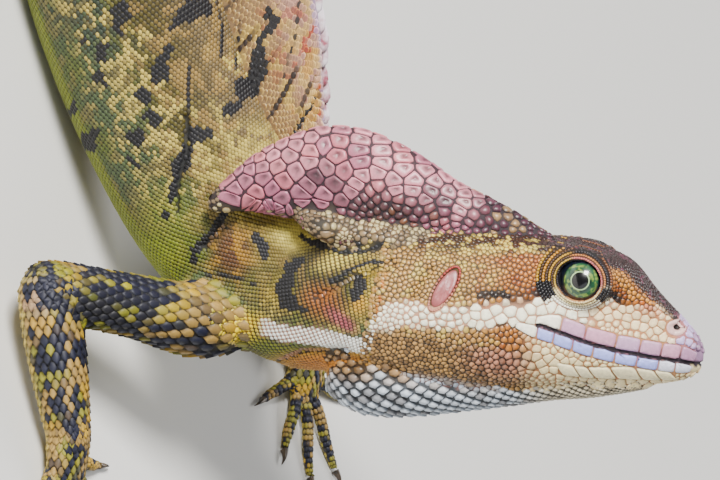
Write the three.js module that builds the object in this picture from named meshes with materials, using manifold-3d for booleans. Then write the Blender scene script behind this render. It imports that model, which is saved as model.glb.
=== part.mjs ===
// A life-size still model of an adult male common basilisk lizard, resting on the floor with its
// front raised on its forelegs and its head lifted and turned a little to its left.
// Millimetres, +Z up, +X towards the snout along the trunk, +Y to the animal's left.
// The origin is the bottom centre of the whole model's box.
import * as THREE from "three";
import { mergeVertices } from "three/addons/utils/BufferGeometryUtils.js";
import Module from "manifold-3d";

const wasm = await Module();
wasm.setup();

// Driving dimensions
const GAP = 0.3; // clear space between neighbouring parts
const HEAD_RAISE = 60.5; // degrees above the floor
const HEAD_TURN = 20.5; // degrees to the animal's left
const HEAD_ROLL = -4.4;
const HEAD_AT = [-12, -2, 64.4]; // the midline point level with the ears
const NECK_JOINT = [-10, 0, -3.3]; // where the neck meets the skull, in the head's frame
const EYE_AT = [24.6, 6.7, 8.35]; // in the head's frame, for either side
const EYE_RADIUS = 4.3;
const LIDS = { radii: [5.7, 5.3, 5.15], out: 4.7, opening: [4.0, 2.8, 3.65] };
const TRUNK_SIDES = 28;
const HEAD_SIDES = 26;
const TAIL_SIDES = 16;
const LIMB_SIDES = 10;
const DIGIT_SIDES = 6;

const V = (p) => new THREE.Vector3(...p);
const UP = V([0, 0, 1]);
const smooth = (t) => t * t * (3 - 2 * t);
const clamp01 = (t) => Math.min(1, Math.max(0, t));
const lerp = (a, b, t) => a + (b - a) * t;

// A smooth curve through the rows of a table, column by column; t counts rows.
function through(table, t) {
  const last = table.length - 1;
  const i = Math.min(last - 1, Math.max(0, Math.floor(t)));
  const f = t - i;
  const row = (k) => table[Math.min(last, Math.max(0, k))];
  const [a, b, c, d] = [row(i - 1), row(i), row(i + 1), row(i + 2)];
  return b.map((_, k) => {
    const before = (c[k] - a[k]) / 2;
    const after = (d[k] - b[k]) / 2;
    const rise = c[k] - b[k];
    return b[k] + f * (before + f * (3 * rise - 2 * before - after + f * (before + after - 2 * rise)));
  });
}

// Closed surface through rings of equal count, each end closed at its own point.
function loft(rings, start, end) {
  const n = rings[0].length;
  const points = rings.flat();
  const first = points.push(start) - 1;
  const last = points.push(end) - 1;
  const faces = [];
  for (let i = 0; i < rings.length - 1; i++)
    for (let j = 0; j < n; j++) {
      const k = (j + 1) % n;
      const [a, b, c, d] = [i * n + j, i * n + k, (i + 1) * n + j, (i + 1) * n + k];
      faces.push(a, b, c, b, d, c);
    }
  const top = (rings.length - 1) * n;
  for (let j = 0; j < n; j++) {
    const k = (j + 1) % n;
    faces.push(first, k, j, last, top + j, top + k);
  }
  return solidOf(points, faces);
}

const middle = (ring) =>
  ring.reduce((sum, p) => sum.add(p), new THREE.Vector3()).divideScalar(ring.length);

function solidOf(points, faces) {
  const made = new wasm.Manifold(
    new wasm.Mesh({
      numProp: 3,
      vertProperties: new Float32Array(points.flatMap((p) => [p.x, p.y, p.z])),
      triVerts: new Uint32Array(faces),
    }),
  );
  if (made.volume() > 0) return made;
  const turned = faces.map((_, i) => faces[i - (i % 3) + [0, 2, 1][i % 3]]);
  return solidOf(points, turned);
}

function solidFrom(geometry, matrix = new THREE.Matrix4()) {
  const bare = geometry.clone().applyMatrix4(matrix);
  bare.deleteAttribute("normal");
  bare.deleteAttribute("uv");
  const merged = mergeVertices(bare, 1e-4);
  return new wasm.Manifold(
    new wasm.Mesh({
      numProp: 3,
      vertProperties: new Float32Array(merged.attributes.position.array),
      triVerts: new Uint32Array(merged.index.array),
    }),
  );
}

function geometryOf(solid) {
  const mesh = solid.getMesh();
  const geometry = new THREE.BufferGeometry();
  const step = mesh.numProp;
  const position = new Float32Array(mesh.numVert * 3);
  for (let i = 0; i < mesh.numVert; i++)
    position.set(mesh.vertProperties.subarray(i * step, i * step + 3), i * 3);
  geometry.setAttribute("position", new THREE.BufferAttribute(position, 3));
  geometry.setIndex(new THREE.BufferAttribute(new Uint32Array(mesh.triVerts), 1));
  return geometry;
}

// The same solid with its surface moved outwards, used to cut a neighbour clear of it.
function grown(solid, by = GAP + 0.12) {
  const geometry = geometryOf(solid);
  geometry.computeVertexNormals();
  const { position, normal } = geometry.attributes;
  const points = [];
  for (let i = 0; i < position.count; i++)
    points.push(
      new THREE.Vector3()
        .fromBufferAttribute(position, i)
        .addScaledVector(new THREE.Vector3().fromBufferAttribute(normal, i), by),
    );
  return solidOf(points, [...geometry.index.array]);
}

const joined = (solids) => solids.reduce((a, b) => a.add(b));

function largest(solid) {
  return solid.decompose().reduce((a, b) => (a.volume() > b.volume() ? a : b));
}

// All the space on the side of a plane that its normal points to.
const HALF_SPACE = 2000;
function beyond(point, normal, start = 0) {
  const turn = new THREE.Quaternion().setFromUnitVectors(UP, normal.clone().normalize());
  const centre = point.clone().addScaledVector(normal.clone().normalize(), start + HALF_SPACE / 2);
  const matrix = new THREE.Matrix4().compose(centre, turn, new THREE.Vector3(1, 1, 1));
  return solidFrom(new THREE.BoxGeometry(HALF_SPACE, HALF_SPACE, HALF_SPACE), matrix);
}

const ABOVE_FLOOR = beyond(V([0, 0, 0]), UP);

// The head's frame: x to the snout, y to the animal's left, z out of the crown
const radians = THREE.MathUtils.degToRad;
const HEAD = new THREE.Matrix4()
  .makeRotationY(-radians(HEAD_RAISE))
  .multiply(new THREE.Matrix4().makeRotationZ(radians(HEAD_TURN)))
  .multiply(new THREE.Matrix4().makeRotationX(radians(HEAD_ROLL)))
  .setPosition(...HEAD_AT);
const inHead = (x, y, z) => V([x, y, z]).applyMatrix4(HEAD);
const HEAD_X = new THREE.Vector3();
const HEAD_Y = new THREE.Vector3();
const HEAD_Z = new THREE.Vector3();
HEAD.extractBasis(HEAD_X, HEAD_Y, HEAD_Z);

// Head sections from the nape to the snout: station, then height of the crown, [half width, height]
// of brow, temple, upper lip and jaw, and height of the chin line.
const HEAD_SECTIONS = [
  [-10, 9.5, 6.5, 7.5, 11.2, 0.5, 12.0, -6.0, 8.5, -13.5, -16.0],
  [0, 11.5, 7.0, 9.6, 12.2, 2.0, 13.2, -5.0, 9.5, -13.5, -16.8],
  [8, 12.4, 7.2, 10.6, 11.8, 3.0, 13.0, -4.5, 9.6, -12.8, -16.2],
  [14, 12.8, 7.6, 11.6, 10.8, 4.0, 12.2, -3.8, 9.0, -11.6, -15.0],
  [19, 13.2, 8.4, 12.4, 9.6, 6.0, 11.0, -3.2, 8.2, -10.4, -13.6],
  [24, 13.4, 8.6, 12.8, 8.8, 7.0, 9.8, -3.0, 7.2, -9.2, -12.2],
  [29, 12.6, 7.8, 11.2, 7.4, 5.5, 8.6, -3.0, 6.2, -8.2, -10.8],
  [34, 10.2, 5.8, 8.6, 6.0, 3.6, 7.2, -3.0, 5.2, -7.2, -9.4],
  [39, 7.0, 4.4, 5.6, 5.0, 2.4, 5.8, -3.0, 4.2, -6.4, -8.2],
  [43, 4.2, 3.2, 3.4, 4.0, 1.0, 4.4, -3.0, 3.2, -5.6, -7.0],
  [45.6, 2.2, 2.0, 1.6, 2.7, -0.4, 2.9, -3.0, 2.1, -4.8, -5.6],
  [47.2, 0.0, 0.9, -0.4, 1.2, -1.4, 1.2, -2.8, 0.8, -3.8, -4.2],
];
const SNOUT_TIP = [47.7, 0, -2.4];

// One head section as points [y, z], from the crown round by the animal's right.
function headOutline(row, sides) {
  const [, crown, by, bz, cy, cz, ly, lz, jy, jz, chin] = row;
  const right = [
    [0, crown],
    [-by, bz],
    [-cy, cz],
    [-ly, lz],
    [-jy, jz],
    [0, chin],
  ];
  const left = right.slice(1, -1).reverse().map(([y, z]) => [-y, z]);
  const curve = new THREE.CatmullRomCurve3(
    [...right, ...left].map(([y, z]) => V([0, y, z])),
    true,
    "centripetal",
  );
  return curve.getSpacedPoints(sides).slice(0, sides).map((p) => [p.y, p.z]);
}

const headStation = (t) => through(HEAD_SECTIONS, t);
const stationCount = HEAD_SECTIONS.length - 1;

function headSolid(ringsPerStation, forward = GAP / 2) {
  const rings = [];
  for (let k = 0; k <= stationCount * ringsPerStation; k++) {
    const row = headStation(k / ringsPerStation);
    const x = k === 0 ? row[0] + forward : row[0];
    rings.push(headOutline(row, HEAD_SIDES).map(([y, z]) => inHead(x, y, z)));
  }
  return loft(rings, middle(rings[0]), inHead(...SNOUT_TIP));
}

// Trunk stations from the skull to the tail's root: centre x, y, z, half width, height above
// and depth below the centre.
const neckStart = inHead(...NECK_JOINT);
const neckLead = inHead(NECK_JOINT[0] + 12, NECK_JOINT[1], NECK_JOINT[2]);
const TRUNK = [
  [neckLead.x, neckLead.y, neckLead.z, 12.2, 12.8, 12.7],
  [neckStart.x, neckStart.y, neckStart.z, 12.0, 12.8, 12.7],
  [-18, -3, 39, 11.8, 14, 14.5],
  [-33.9, -0.5, 26.8, 13.6, 17.2, 17],
  [-54, 0, 20.5, 14.6, 18, 17.6],
  [-75, 0, 18.6, 15.5, 18.5, 18.7],
  [-97, 0, 19.2, 16.8, 19, 19.4],
  [-118, 0, 18.6, 16.2, 17.6, 18.8],
  [-138, 0, 15.6, 13, 14.6, 15.4],
  [-156, 0, 12.4, 10.6, 11.8, 12.5],
  [-172, 0, 10, 9.2, 9.9, 10.1],
];
const SKULL_END = 1; // the row of TRUNK at which the neck meets the skull
const TRUNK_END = 10;
const BACK_POWER = 1.75; // a roof-like back
const BELLY_POWER = 2.35; // a full belly

function trunkFrame(t) {
  const [x, y, z, wide, over, under] = through(TRUNK, t);
  const centre = V([x, y, z]);
  const ahead = through(TRUNK, t - 0.01);
  const behind = through(TRUNK, t + 0.01);
  const nearSkull = smooth(clamp01(1 - (t - SKULL_END) / 1.2));
  const forward = V(ahead.slice(0, 3))
    .sub(V(behind.slice(0, 3)))
    .normalize()
    .lerp(HEAD_X, nearSkull)
    .normalize();
  forward.z *= smooth(clamp01(TRUNK_END - t));
  forward.normalize();
  const dorsal = UP.clone().lerp(HEAD_Z, smooth(clamp01(1 - (t - SKULL_END) / 2)));
  const up = dorsal.addScaledVector(forward, -dorsal.dot(forward)).normalize();
  const left = new THREE.Vector3().crossVectors(up, forward);
  return { centre, forward, up, left, wide, over, under };
}

const power = (v, n) => Math.sign(v) * Math.abs(v) ** (2 / n);

// One trunk section as points [y, z] about its centre, shaped like the skull's back at the skull.
function trunkOutline(t, frame, sides) {
  const skull = headOutline(HEAD_SECTIONS[0], sides);
  const share = smooth(clamp01(1 - (t - SKULL_END) / 1.3));
  return skull.map(([sy, sz], k) => {
    const angle = (2 * Math.PI * k) / sides;
    const c = Math.cos(angle);
    const n = c > 0 ? BACK_POWER : BELLY_POWER;
    const y = -frame.wide * power(Math.sin(angle), c > 0 ? 2 : BELLY_POWER);
    const z = (c > 0 ? frame.over : frame.under) * power(c, n);
    return [lerp(y, sy, share), lerp(z, sz - NECK_JOINT[2], share)];
  });
}

function trunkRing(t, along = 0) {
  const frame = trunkFrame(t);
  return trunkOutline(t, frame, TRUNK_SIDES).map(([y, z]) =>
    frame.centre
      .clone()
      .addScaledVector(frame.left, y)
      .addScaledVector(frame.up, z)
      .addScaledVector(frame.forward, along),
  );
}

// A length of the trunk between two stations, with half the clear gap left at each end.
function trunkLength(from, to, ringsPerStation) {
  const count = Math.max(2, Math.round((to - from) * ringsPerStation));
  const rings = [];
  for (let k = count; k >= 0; k--) {
    const along = k === 0 ? -GAP / 2 : k === count ? GAP / 2 : 0;
    rings.push(trunkRing(lerp(from, to, k / count), along));
  }
  return loft(rings, middle(rings[0]), middle(rings[rings.length - 1]));
}

// The tail lies on the floor: x, y, half height, half width.
const TAIL = [
  [-172, 0, 10, 9.2],
  [-200, 0, 8.9, 8.0],
  [-235, -1, 7.9, 6.9],
  [-290, -1, 6.5, 5.4],
  [-350, 2, 5.4, 4.4],
  [-410, 12, 4.4, 3.7],
  [-466, 28, 3.6, 3.0],
  [-522, 46, 2.9, 2.4],
  [-578, 58, 2.3, 1.9],
  [-632, 58, 1.7, 1.4],
  [-682, 44, 1.1, 0.9],
];
const TAIL_SETTLE = 0.15; // how far the underside is pressed flat on the floor

function tailFrame(t) {
  const [x, y, tall, wide] = through(TAIL, t);
  const ahead = V([...through(TAIL, t - 0.01).slice(0, 2), 0]);
  const behind = V([...through(TAIL, t + 0.01).slice(0, 2), 0]);
  const forward = ahead.sub(behind).normalize();
  const left = new THREE.Vector3().crossVectors(UP, forward);
  return { centre: V([x, y, tall - TAIL_SETTLE * clamp01(t)]), forward, left, up: UP, tall, wide };
}

function tailRing(t, sides, along = 0) {
  const { centre, forward, left, up, tall, wide } = tailFrame(t);
  const ring = [];
  for (let k = 0; k < sides; k++) {
    const angle = (2 * Math.PI * k) / sides;
    const c = Math.cos(angle);
    const z = tall * power(c, c > 0 ? BACK_POWER : BELLY_POWER);
    const y = -wide * power(Math.sin(angle), c > 0 ? 2 : BELLY_POWER);
    ring.push(
      centre
        .clone()
        .addScaledVector(left, y)
        .addScaledVector(up, z)
        .addScaledVector(forward, along),
    );
  }
  return ring;
}

function tailLength(from, to, count, sides) {
  const rings = [];
  for (let k = count; k >= 0; k--) {
    const along = k === 0 ? -GAP / 2 : k === count ? GAP / 2 : 0;
    rings.push(tailRing(lerp(from, to, k / count), sides, along));
  }
  return loft(rings, middle(rings[0]), middle(rings[rings.length - 1]));
}

// A rounded limb piece through points with radii across and along the vertical.
function limb(rows, sides = LIMB_SIDES, ringsPerRow = 2) {
  const rings = [];
  for (let k = 0; k <= (rows.length - 1) * ringsPerRow; k++) {
    const t = k / ringsPerRow;
    const [x, y, z, across, tall] = through(rows, t);
    const ahead = V(through(rows, Math.min(rows.length - 1, t + 0.02)).slice(0, 3));
    const behind = V(through(rows, Math.max(0, t - 0.02)).slice(0, 3));
    const forward = ahead.sub(behind).normalize();
    const side = new THREE.Vector3().crossVectors(UP, forward).normalize();
    const up = new THREE.Vector3().crossVectors(forward, side);
    const ring = [];
    for (let j = 0; j < sides; j++) {
      const angle = (2 * Math.PI * (j + 0.5)) / sides;
      ring.push(
        V([x, y, z])
          .addScaledVector(side, -across * Math.sin(angle))
          .addScaledVector(up, tall * Math.cos(angle)),
      );
    }
    rings.push(ring);
  }
  return loft(rings, middle(rings[0]), middle(rings[rings.length - 1]));
}

const CLAW_LENGTH = 2.8;
const CLAW_RADIUS = 0.62;
const CLAW_TIP_HEIGHT = 0.45;
const CLAW_START = 0.42; // clear of the toe's end

// A digit as a low arch from its knuckle to its tip, and the claw that goes on from it.
function digit({ base, heading, reach, radius, lift }) {
  const out = V([Math.cos(radians(heading)), Math.sin(radians(heading)), 0]);
  const arch = [
    [-0.1, 0.6, 1.15],
    [0.3, 1.2, 1.05],
    [0.7, 0.15, 0.95],
    [1, 0, 0.7],
  ];
  const rows = arch.map(([share, rise, girth]) => {
    const at = V(base).addScaledVector(out, share * reach);
    return [at.x, at.y, radius * girth * 0.84 + lift * rise, radius * girth, radius * girth];
  });
  const tip = V(rows[rows.length - 1].slice(0, 3));
  const clawRows = [
    [0, 0, 1],
    [0.55, 0.12, 0.72],
    [1, -1, 0.22],
  ].map(([share, rise, girth]) => {
    const at = tip.clone().addScaledVector(out, CLAW_START + share * CLAW_LENGTH);
    const z = rise < 0 ? CLAW_TIP_HEIGHT : tip.z + rise;
    return [at.x, at.y, z, CLAW_RADIUS * girth, CLAW_RADIUS * girth * 1.15];
  });
  return { toe: limb(rows, DIGIT_SIDES, 1), claw: limb(clawRows, 5, 1) };
}

// Cuts a limb at a joint into the nearer and farther piece, with the clear gap between them.
function partAt(solid, joint, nearer, farther) {
  const normal = V(joint).sub(V(nearer)).normalize().add(V(farther).sub(V(joint)).normalize());
  const near = solid.intersect(beyond(V(joint), normal.clone().negate(), GAP / 2));
  const far = solid.intersect(beyond(V(joint), normal, GAP / 2));
  return [near, far].map(largest);
}

// side is 1 for the animal's left and -1 for its right.
const FORELEG_RADII = { root: 6.2, shoulder: 6.6, upper: 5.6, elbow: 5.1, forearm: 5.5, wrist: 4.4 };
const FINGERS = [
  { name: 1, heading: 78, reach: 9.5 },
  { name: 2, heading: 38, reach: 13 },
  { name: 3, heading: 12, reach: 16.5 },
  { name: 4, heading: -14, reach: 17 },
  { name: 5, heading: -62, reach: 11.5 },
];
const FORELEGS = {
  right: { side: -1, shoulder: [-17, -12.5, 23.7], elbow: [-29.7, -38, 9.5], wrist: [-4.5, -36.8, 5.2] },
  left: { side: 1, shoulder: [-17, 12, 24], elbow: [-26, 38, 12], wrist: [-7, 49, 5.4] },
};

const between = (a, b, t) => a.map((v, k) => lerp(v, b[k], t));

function foreleg({ side, shoulder, elbow, wrist }) {
  const r = FORELEG_RADII;
  const root = [shoulder[0] - 3, shoulder[1] - side * 8.5, shoulder[2] + 3.5];
  const upper = limb([
    [...root, r.root, r.root],
    [...shoulder, r.shoulder, r.shoulder + 1.2],
    [...between(shoulder, elbow, 0.5), r.upper, r.upper],
    [...elbow, r.elbow, r.elbow],
    [...between(shoulder, elbow, 1.12), r.elbow * 0.62, r.elbow * 0.62],
  ]);
  const lower = limb([
    [...between(elbow, wrist, -0.13), r.elbow * 0.62, r.elbow * 0.62],
    [...elbow, r.elbow, r.elbow],
    [...between(elbow, wrist, 0.4), r.forearm, r.forearm - 0.3],
    [...wrist, r.wrist, r.wrist - 0.6],
    [...between(elbow, wrist, 1.12), r.wrist * 0.8, r.wrist * 0.62],
  ]);
  const palmEnd = [wrist[0] + 7.5, wrist[1], 2.5];
  const palm = limb([
    [...between(wrist, palmEnd, -0.25), 3.4, 3],
    [...wrist, 4.4, 3.7],
    [...between(wrist, palmEnd, 0.55), 5.2, 2.9],
    [...palmEnd, 4.6, 2.3],
    [palmEnd[0] + 2, palmEnd[1], 2.2, 2.8, 1.6],
  ]);
  const digits = FINGERS.map(({ name, heading, reach }) => {
    const spread = side * radians(heading) * -1;
    const base = [
      palmEnd[0] - 3 + 3.2 * Math.cos(spread),
      palmEnd[1] + 4.2 * Math.sin(spread),
      0,
    ];
    const made = digit({ base, heading: -side * heading, reach, radius: 1.3, lift: 0.9 });
    return { name, ...made };
  });
  const whole = joined([upper, lower, palm, ...digits.map((d) => d.toe)]).intersect(ABOVE_FLOOR);
  const [arm, rest] = partAt(whole, elbow, shoulder, wrist);
  const [forearm, hand] = partAt(rest, wrist, elbow, palmEnd);
  return { arm, forearm, hand, digits };
}

const HINDLEG_RADII = { root: 11, hip: 9.8, thigh: 8.4, knee: 6.1, calf: 6.4, ankle: 4.1 };
const TOES = [
  { name: 1, heading: 62, reach: 11 },
  { name: 2, heading: 32, reach: 19 },
  { name: 3, heading: 12, reach: 30 },
  { name: 4, heading: -4, reach: 42 },
  { name: 5, heading: -48, reach: 22 },
];
const HINDLEGS = {
  right: {
    side: -1,
    hip: [-143, -8.5, 14],
    knee: [-108, -41, 25],
    ankle: [-146, -57, 7],
    sole: [-122, -64, 3],
    heading: -14,
  },
  left: {
    side: 1,
    hip: [-143, 8.5, 14],
    knee: [-114, 44, 23],
    ankle: [-154, 56, 7],
    sole: [-131, 66, 3],
    heading: 22,
  },
};

function hindleg({ side, hip, knee, ankle, sole, heading: aim }) {
  const r = HINDLEG_RADII;
  const root = [hip[0] - 3, hip[1] - side * 4, hip[2]];
  const thigh = limb([
    [...root, r.root, r.root - 1],
    [...hip, r.hip + 0.6, r.hip],
    [...between(hip, knee, 0.42), r.thigh, r.thigh + 0.8],
    [...knee, r.knee, r.knee],
    [...between(hip, knee, 1.09), r.knee * 0.6, r.knee * 0.6],
  ]);
  const shin = limb([
    [...between(knee, ankle, -0.09), r.knee * 0.6, r.knee * 0.6],
    [...knee, r.knee, r.knee],
    [...between(knee, ankle, 0.35), r.calf, r.calf],
    [...between(knee, ankle, 0.75), r.ankle + 0.5, r.ankle + 0.7],
    [...ankle, r.ankle, r.ankle],
    [...between(knee, ankle, 1.07), r.ankle * 0.62, r.ankle * 0.62],
  ]);
  const foot = limb([
    [...between(ankle, sole, -0.15), 2.8, 2.4],
    [...ankle, 4.0, 4.2],
    [...between(ankle, sole, 0.5), 4.6, 3.4],
    [...sole, 5.4, 2.6],
    [...between(ankle, sole, 1.15), 3.6, 1.8],
  ]);
  const digits = TOES.map(({ name, heading, reach }) => {
    const spread = aim - side * heading;
    const base = [
      sole[0] - 2 + 2.8 * Math.cos(radians(spread)),
      sole[1] + 4.4 * Math.sin(radians(spread)),
      0,
    ];
    const made = digit({ base, heading: spread, reach, radius: 1.55, lift: 1.0 });
    return { name, ...made };
  });
  const whole = joined([thigh, shin, foot, ...digits.map((d) => d.toe)]).intersect(ABOVE_FLOOR);
  const [upper, rest] = partAt(whole, knee, hip, ankle);
  const [calf, pes] = partAt(rest, ankle, knee, sole);
  return { upper, calf, pes, digits };
}

// A thin crest as one closed plate: columns lean back from a root line, rays thicken it and its
// free edge is toothed.
function crest({ columns, rows, rootAt, topAt, sunk, thickness }) {
  const points = [];
  for (const side of [1, -1])
    for (let i = 0; i <= columns; i++) {
      const { root, up, left } = rootAt(i / columns);
      const top = topAt(i / columns, i);
      for (let j = 0; j <= rows; j++) {
        const foot = root.clone().addScaledVector(up, -sunk);
        const at = foot.lerp(top, j / rows);
        points.push(at.addScaledVector(left, (side * thickness(i, j / rows)) / 2));
      }
    }
  const high = rows + 1;
  const back = (columns + 1) * high;
  const faces = [];
  for (let i = 0; i < columns; i++)
    for (let j = 0; j < rows; j++) {
      const [a, b, c, d] = [i * high + j, (i + 1) * high + j, i * high + j + 1, (i + 1) * high + j + 1];
      faces.push(a, b, c, b, d, c, back + a, back + c, back + b, back + b, back + c, back + d);
    }
  const rim = [];
  for (let i = 0; i <= columns; i++) rim.push(i * high);
  for (let j = 1; j <= rows; j++) rim.push(columns * high + j);
  for (let i = columns - 1; i >= 0; i--) rim.push(i * high + rows);
  for (let j = rows - 1; j > 0; j--) rim.push(j);
  rim.forEach((a, k) => {
    const b = rim[(k + 1) % rim.length];
    faces.push(a, back + a, b, b, back + a, back + b);
  });
  return solidOf(points, faces);
}

// Back crest heights above the back, front to rear: trunk station, height.
const SAIL = [
  [2.45, 4],
  [2.8, 13],
  [3.3, 18],
  [3.9, 21],
  [4.6, 25],
  [5.3, 29],
  [6.1, 32],
  [6.9, 32],
  [7.7, 27],
  [8.5, 17],
  [9.2, 5],
];
const SAIL_LEAN = 27; // degrees the rays lean back
const SAIL_COLUMNS = 68;
const RAY_EVERY = 4;
const TOOTH = 0.55;

function sail() {
  const last = SAIL.length - 1;
  const at = (share) => {
    const [t, tall] = through(SAIL, share * last);
    const frame = trunkFrame(t);
    const root = frame.centre.clone().addScaledVector(frame.up, frame.over);
    return { root, tall, ...frame };
  };
  return crest({
    columns: SAIL_COLUMNS,
    rows: 3,
    rootAt: at,
    topAt: (share, i) => {
      const { root, up, forward, tall } = at(share);
      const high = tall + (i % 2 ? TOOTH : -TOOTH);
      return root
        .clone()
        .addScaledVector(up, high * Math.cos(radians(SAIL_LEAN)))
        .addScaledVector(forward, -high * Math.sin(radians(SAIL_LEAN)));
    },
    sunk: 2.5,
    thickness: (i, v) => (i % RAY_EVERY === 0 ? lerp(2.2, 1.1, v) : lerp(1.1, 0.7, v)),
  });
}

// Tail crest: tail station, height.
const TAIL_SAIL = [
  [0.75, 2],
  [1.15, 10],
  [1.6, 17],
  [2.1, 20],
  [2.7, 18],
  [3.3, 12],
  [3.9, 5.5],
  [4.4, 1.6],
];
const TAIL_SAIL_COLUMNS = 44;

function tailSail() {
  const last = TAIL_SAIL.length - 1;
  const at = (share) => {
    const [t, tall] = through(TAIL_SAIL, share * last);
    const frame = tailFrame(t);
    return { root: frame.centre.clone().addScaledVector(UP, frame.tall), high: tall, ...frame };
  };
  return crest({
    columns: TAIL_SAIL_COLUMNS,
    rows: 3,
    rootAt: at,
    topAt: (share, i) => {
      const { root, forward, high } = at(share);
      const reach = high + (i % 2 ? TOOTH : -TOOTH);
      return root
        .clone()
        .addScaledVector(UP, reach * Math.cos(radians(SAIL_LEAN)))
        .addScaledVector(forward, -reach * Math.sin(radians(SAIL_LEAN)));
    },
    sunk: 1.6,
    thickness: (i, v) => (i % RAY_EVERY === 0 ? lerp(1.8, 1.0, v) : lerp(1.0, 0.7, v)),
  });
}

// Head crest: station, top, bottom, half width, in the head's frame, from brow to free tip.
const CASQUE = [
  [17.5, 14.0, 11.5, 0.8],
  [10.5, 16.3, 9.0, 2.8],
  [4.8, 18.0, 7, 3.8],
  [-0.8, 19.5, 5, 4.4],
  [-6.6, 21.9, 4.5, 4.8],
  [-12.4, 23.8, 4.4, 4.9],
  [-18.8, 24.8, 3.8, 4.6],
  [-25.6, 23.8, 6.0, 4.0],
  [-31.1, 20.8, 6.2, 3.4],
  [-36.3, 16.6, 5.6, 2.7],
  [-40.4, 11.6, 4.4, 1.9],
  [-42.6, 8.2, 4.6, 1.0],
];
const CASQUE_TIP = [-43.5, 0, 6.4];
const CASQUE_SIDES = 14;

function lobeRing([x, top, bottom, wide], sides, upperPower = 1.7) {
  const ring = [];
  const centre = (top + bottom) / 2;
  const tall = (top - bottom) / 2;
  for (let k = 0; k < sides; k++) {
    const angle = (2 * Math.PI * k) / sides;
    const c = Math.cos(angle);
    const z = centre + tall * power(c, c > 0 ? upperPower : 2.1);
    ring.push(inHead(x, -wide * Math.sin(angle), z));
  }
  return ring;
}

function casque() {
  const rings = [];
  const count = (CASQUE.length - 1) * 2;
  for (let k = count; k >= 0; k--) rings.push(lobeRing(through(CASQUE, k / 2), CASQUE_SIDES));
  return loft(rings, inHead(...CASQUE_TIP), inHead(18.6, 0, 12.6));
}

// Throat pouch: station, top inside the jaw, bottom, half width.
const POUCH = [
  [-16.3, -10, -20.9, 4.4],
  [-13.3, -7, -23.0, 6.8],
  [-8.7, -6, -24.2, 8.3],
  [-1.8, -6, -23.2, 8.8],
  [6.4, -6, -20.6, 8.3],
  [14.6, -6, -17.8, 7.0],
  [24, -6, -14.3, 4.9],
  [29, -6, -12.2, 3.4],
];

function pouch() {
  const rings = [];
  for (const row of POUCH) rings.push(lobeRing(row, 16, 2));
  return loft(rings, inHead(-17.8, 0, -16.5), inHead(32, 0, -10));
}

// Mouth, nostrils, ears, sockets and lids
const MOUTH = [
  [20.5, -0.5],
  [24, -1.2],
  [28, -1.9],
  [33, -2.3],
  [39, -2.4],
  [43, -2.3],
  [45.6, -2.5],
]; // station and height of the mouth line, from its corner to the snout
const MOUTH_FRONT = 47.4;
const MOUTH_CUT = { out: 1.2, deep: 0.9, tall: 0.5, bottom: 0.24 };

function headWidthAt(x, z) {
  let t = 0;
  while (t < stationCount && headStation(t)[0] < x) t += 0.05;
  const outline = headOutline(headStation(t), 120);
  const right = outline.filter(([y]) => y < 0);
  const nearest = right.reduce((a, b) => (Math.abs(a[1] - z) < Math.abs(b[1] - z) ? a : b));
  return -nearest[0];
}

function mouthCut() {
  const right = MOUTH.map(([x, z]) => [x, -headWidthAt(x, z), z]);
  const left = right.map(([x, y, z]) => [x, -y, z]).reverse();
  const low = MOUTH[MOUTH.length - 1][1];
  const front = [
    [MOUTH_FRONT - 0.3, -1.1, low],
    [MOUTH_FRONT, 0, low],
    [MOUTH_FRONT - 0.3, 1.1, low],
  ];
  const path = [...right, ...front, ...left];
  const { out, deep, tall, bottom } = MOUTH_CUT;
  const corners = [
    [out, tall / 2],
    [-deep, bottom / 2],
    [-deep, -bottom / 2],
    [out, -tall / 2],
  ];
  const rings = path.map(([x, y, z], k) => {
    const [px, py] = path[Math.max(0, k - 1)];
    const [nx, ny] = path[Math.min(path.length - 1, k + 1)];
    const run = Math.hypot(nx - px, ny - py);
    const away = [(ny - py) / run, (px - nx) / run];
    return corners.map(([o, rise]) => inHead(x + away[0] * o, y + away[1] * o, z + rise));
  });
  return loft(rings, middle(rings[0]), middle(rings[rings.length - 1]));
}

function ball(centre, radii, turn = 0, detail = [10, 7]) {
  const matrix = HEAD.clone()
    .multiply(new THREE.Matrix4().makeTranslation(...centre))
    .multiply(new THREE.Matrix4().makeRotationY(-radians(turn)))
    .multiply(new THREE.Matrix4().makeScale(...radii));
  return solidFrom(new THREE.SphereGeometry(1, ...detail), matrix);
}

const NOSTRIL = { at: [41.6, 3.7, 3.2], radii: [1.1, 1.4, 0.7] };
const EAR = { at: [2.2, 12.6, 2.4], radii: [1.9, 1.7, 4.1], lean: 38 };

function skull() {
  let made = headSolid(2);
  for (const side of [1, -1]) {
    const [ex, ey, ez] = EYE_AT;
    const centre = [ex, side * ey, ez];
    made = made.add(ball(centre, LIDS.radii, 0, [18, 12]));
    made = made.subtract(ball(centre, Array(3).fill(EYE_RADIUS + GAP + 0.15), 0, [16, 12]));
    made = made.subtract(ball([ex, side * (ey + LIDS.out), ez], LIDS.opening, 0, [14, 8]));
    const [nx, ny, nz] = NOSTRIL.at;
    made = made.subtract(ball([nx, side * ny, nz], NOSTRIL.radii, 35, [8, 6]));
    const [ax, ay, az] = EAR.at;
    made = made.subtract(ball([ax, side * ay, az], EAR.radii, -EAR.lean));
  }
  return largest(made.subtract(mouthCut()));
}

const eye = (side) => {
  const [x, y, z] = EYE_AT;
  return ball([x, side * y, z], Array(3).fill(EYE_RADIUS), 0, [16, 10]);
};

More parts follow.
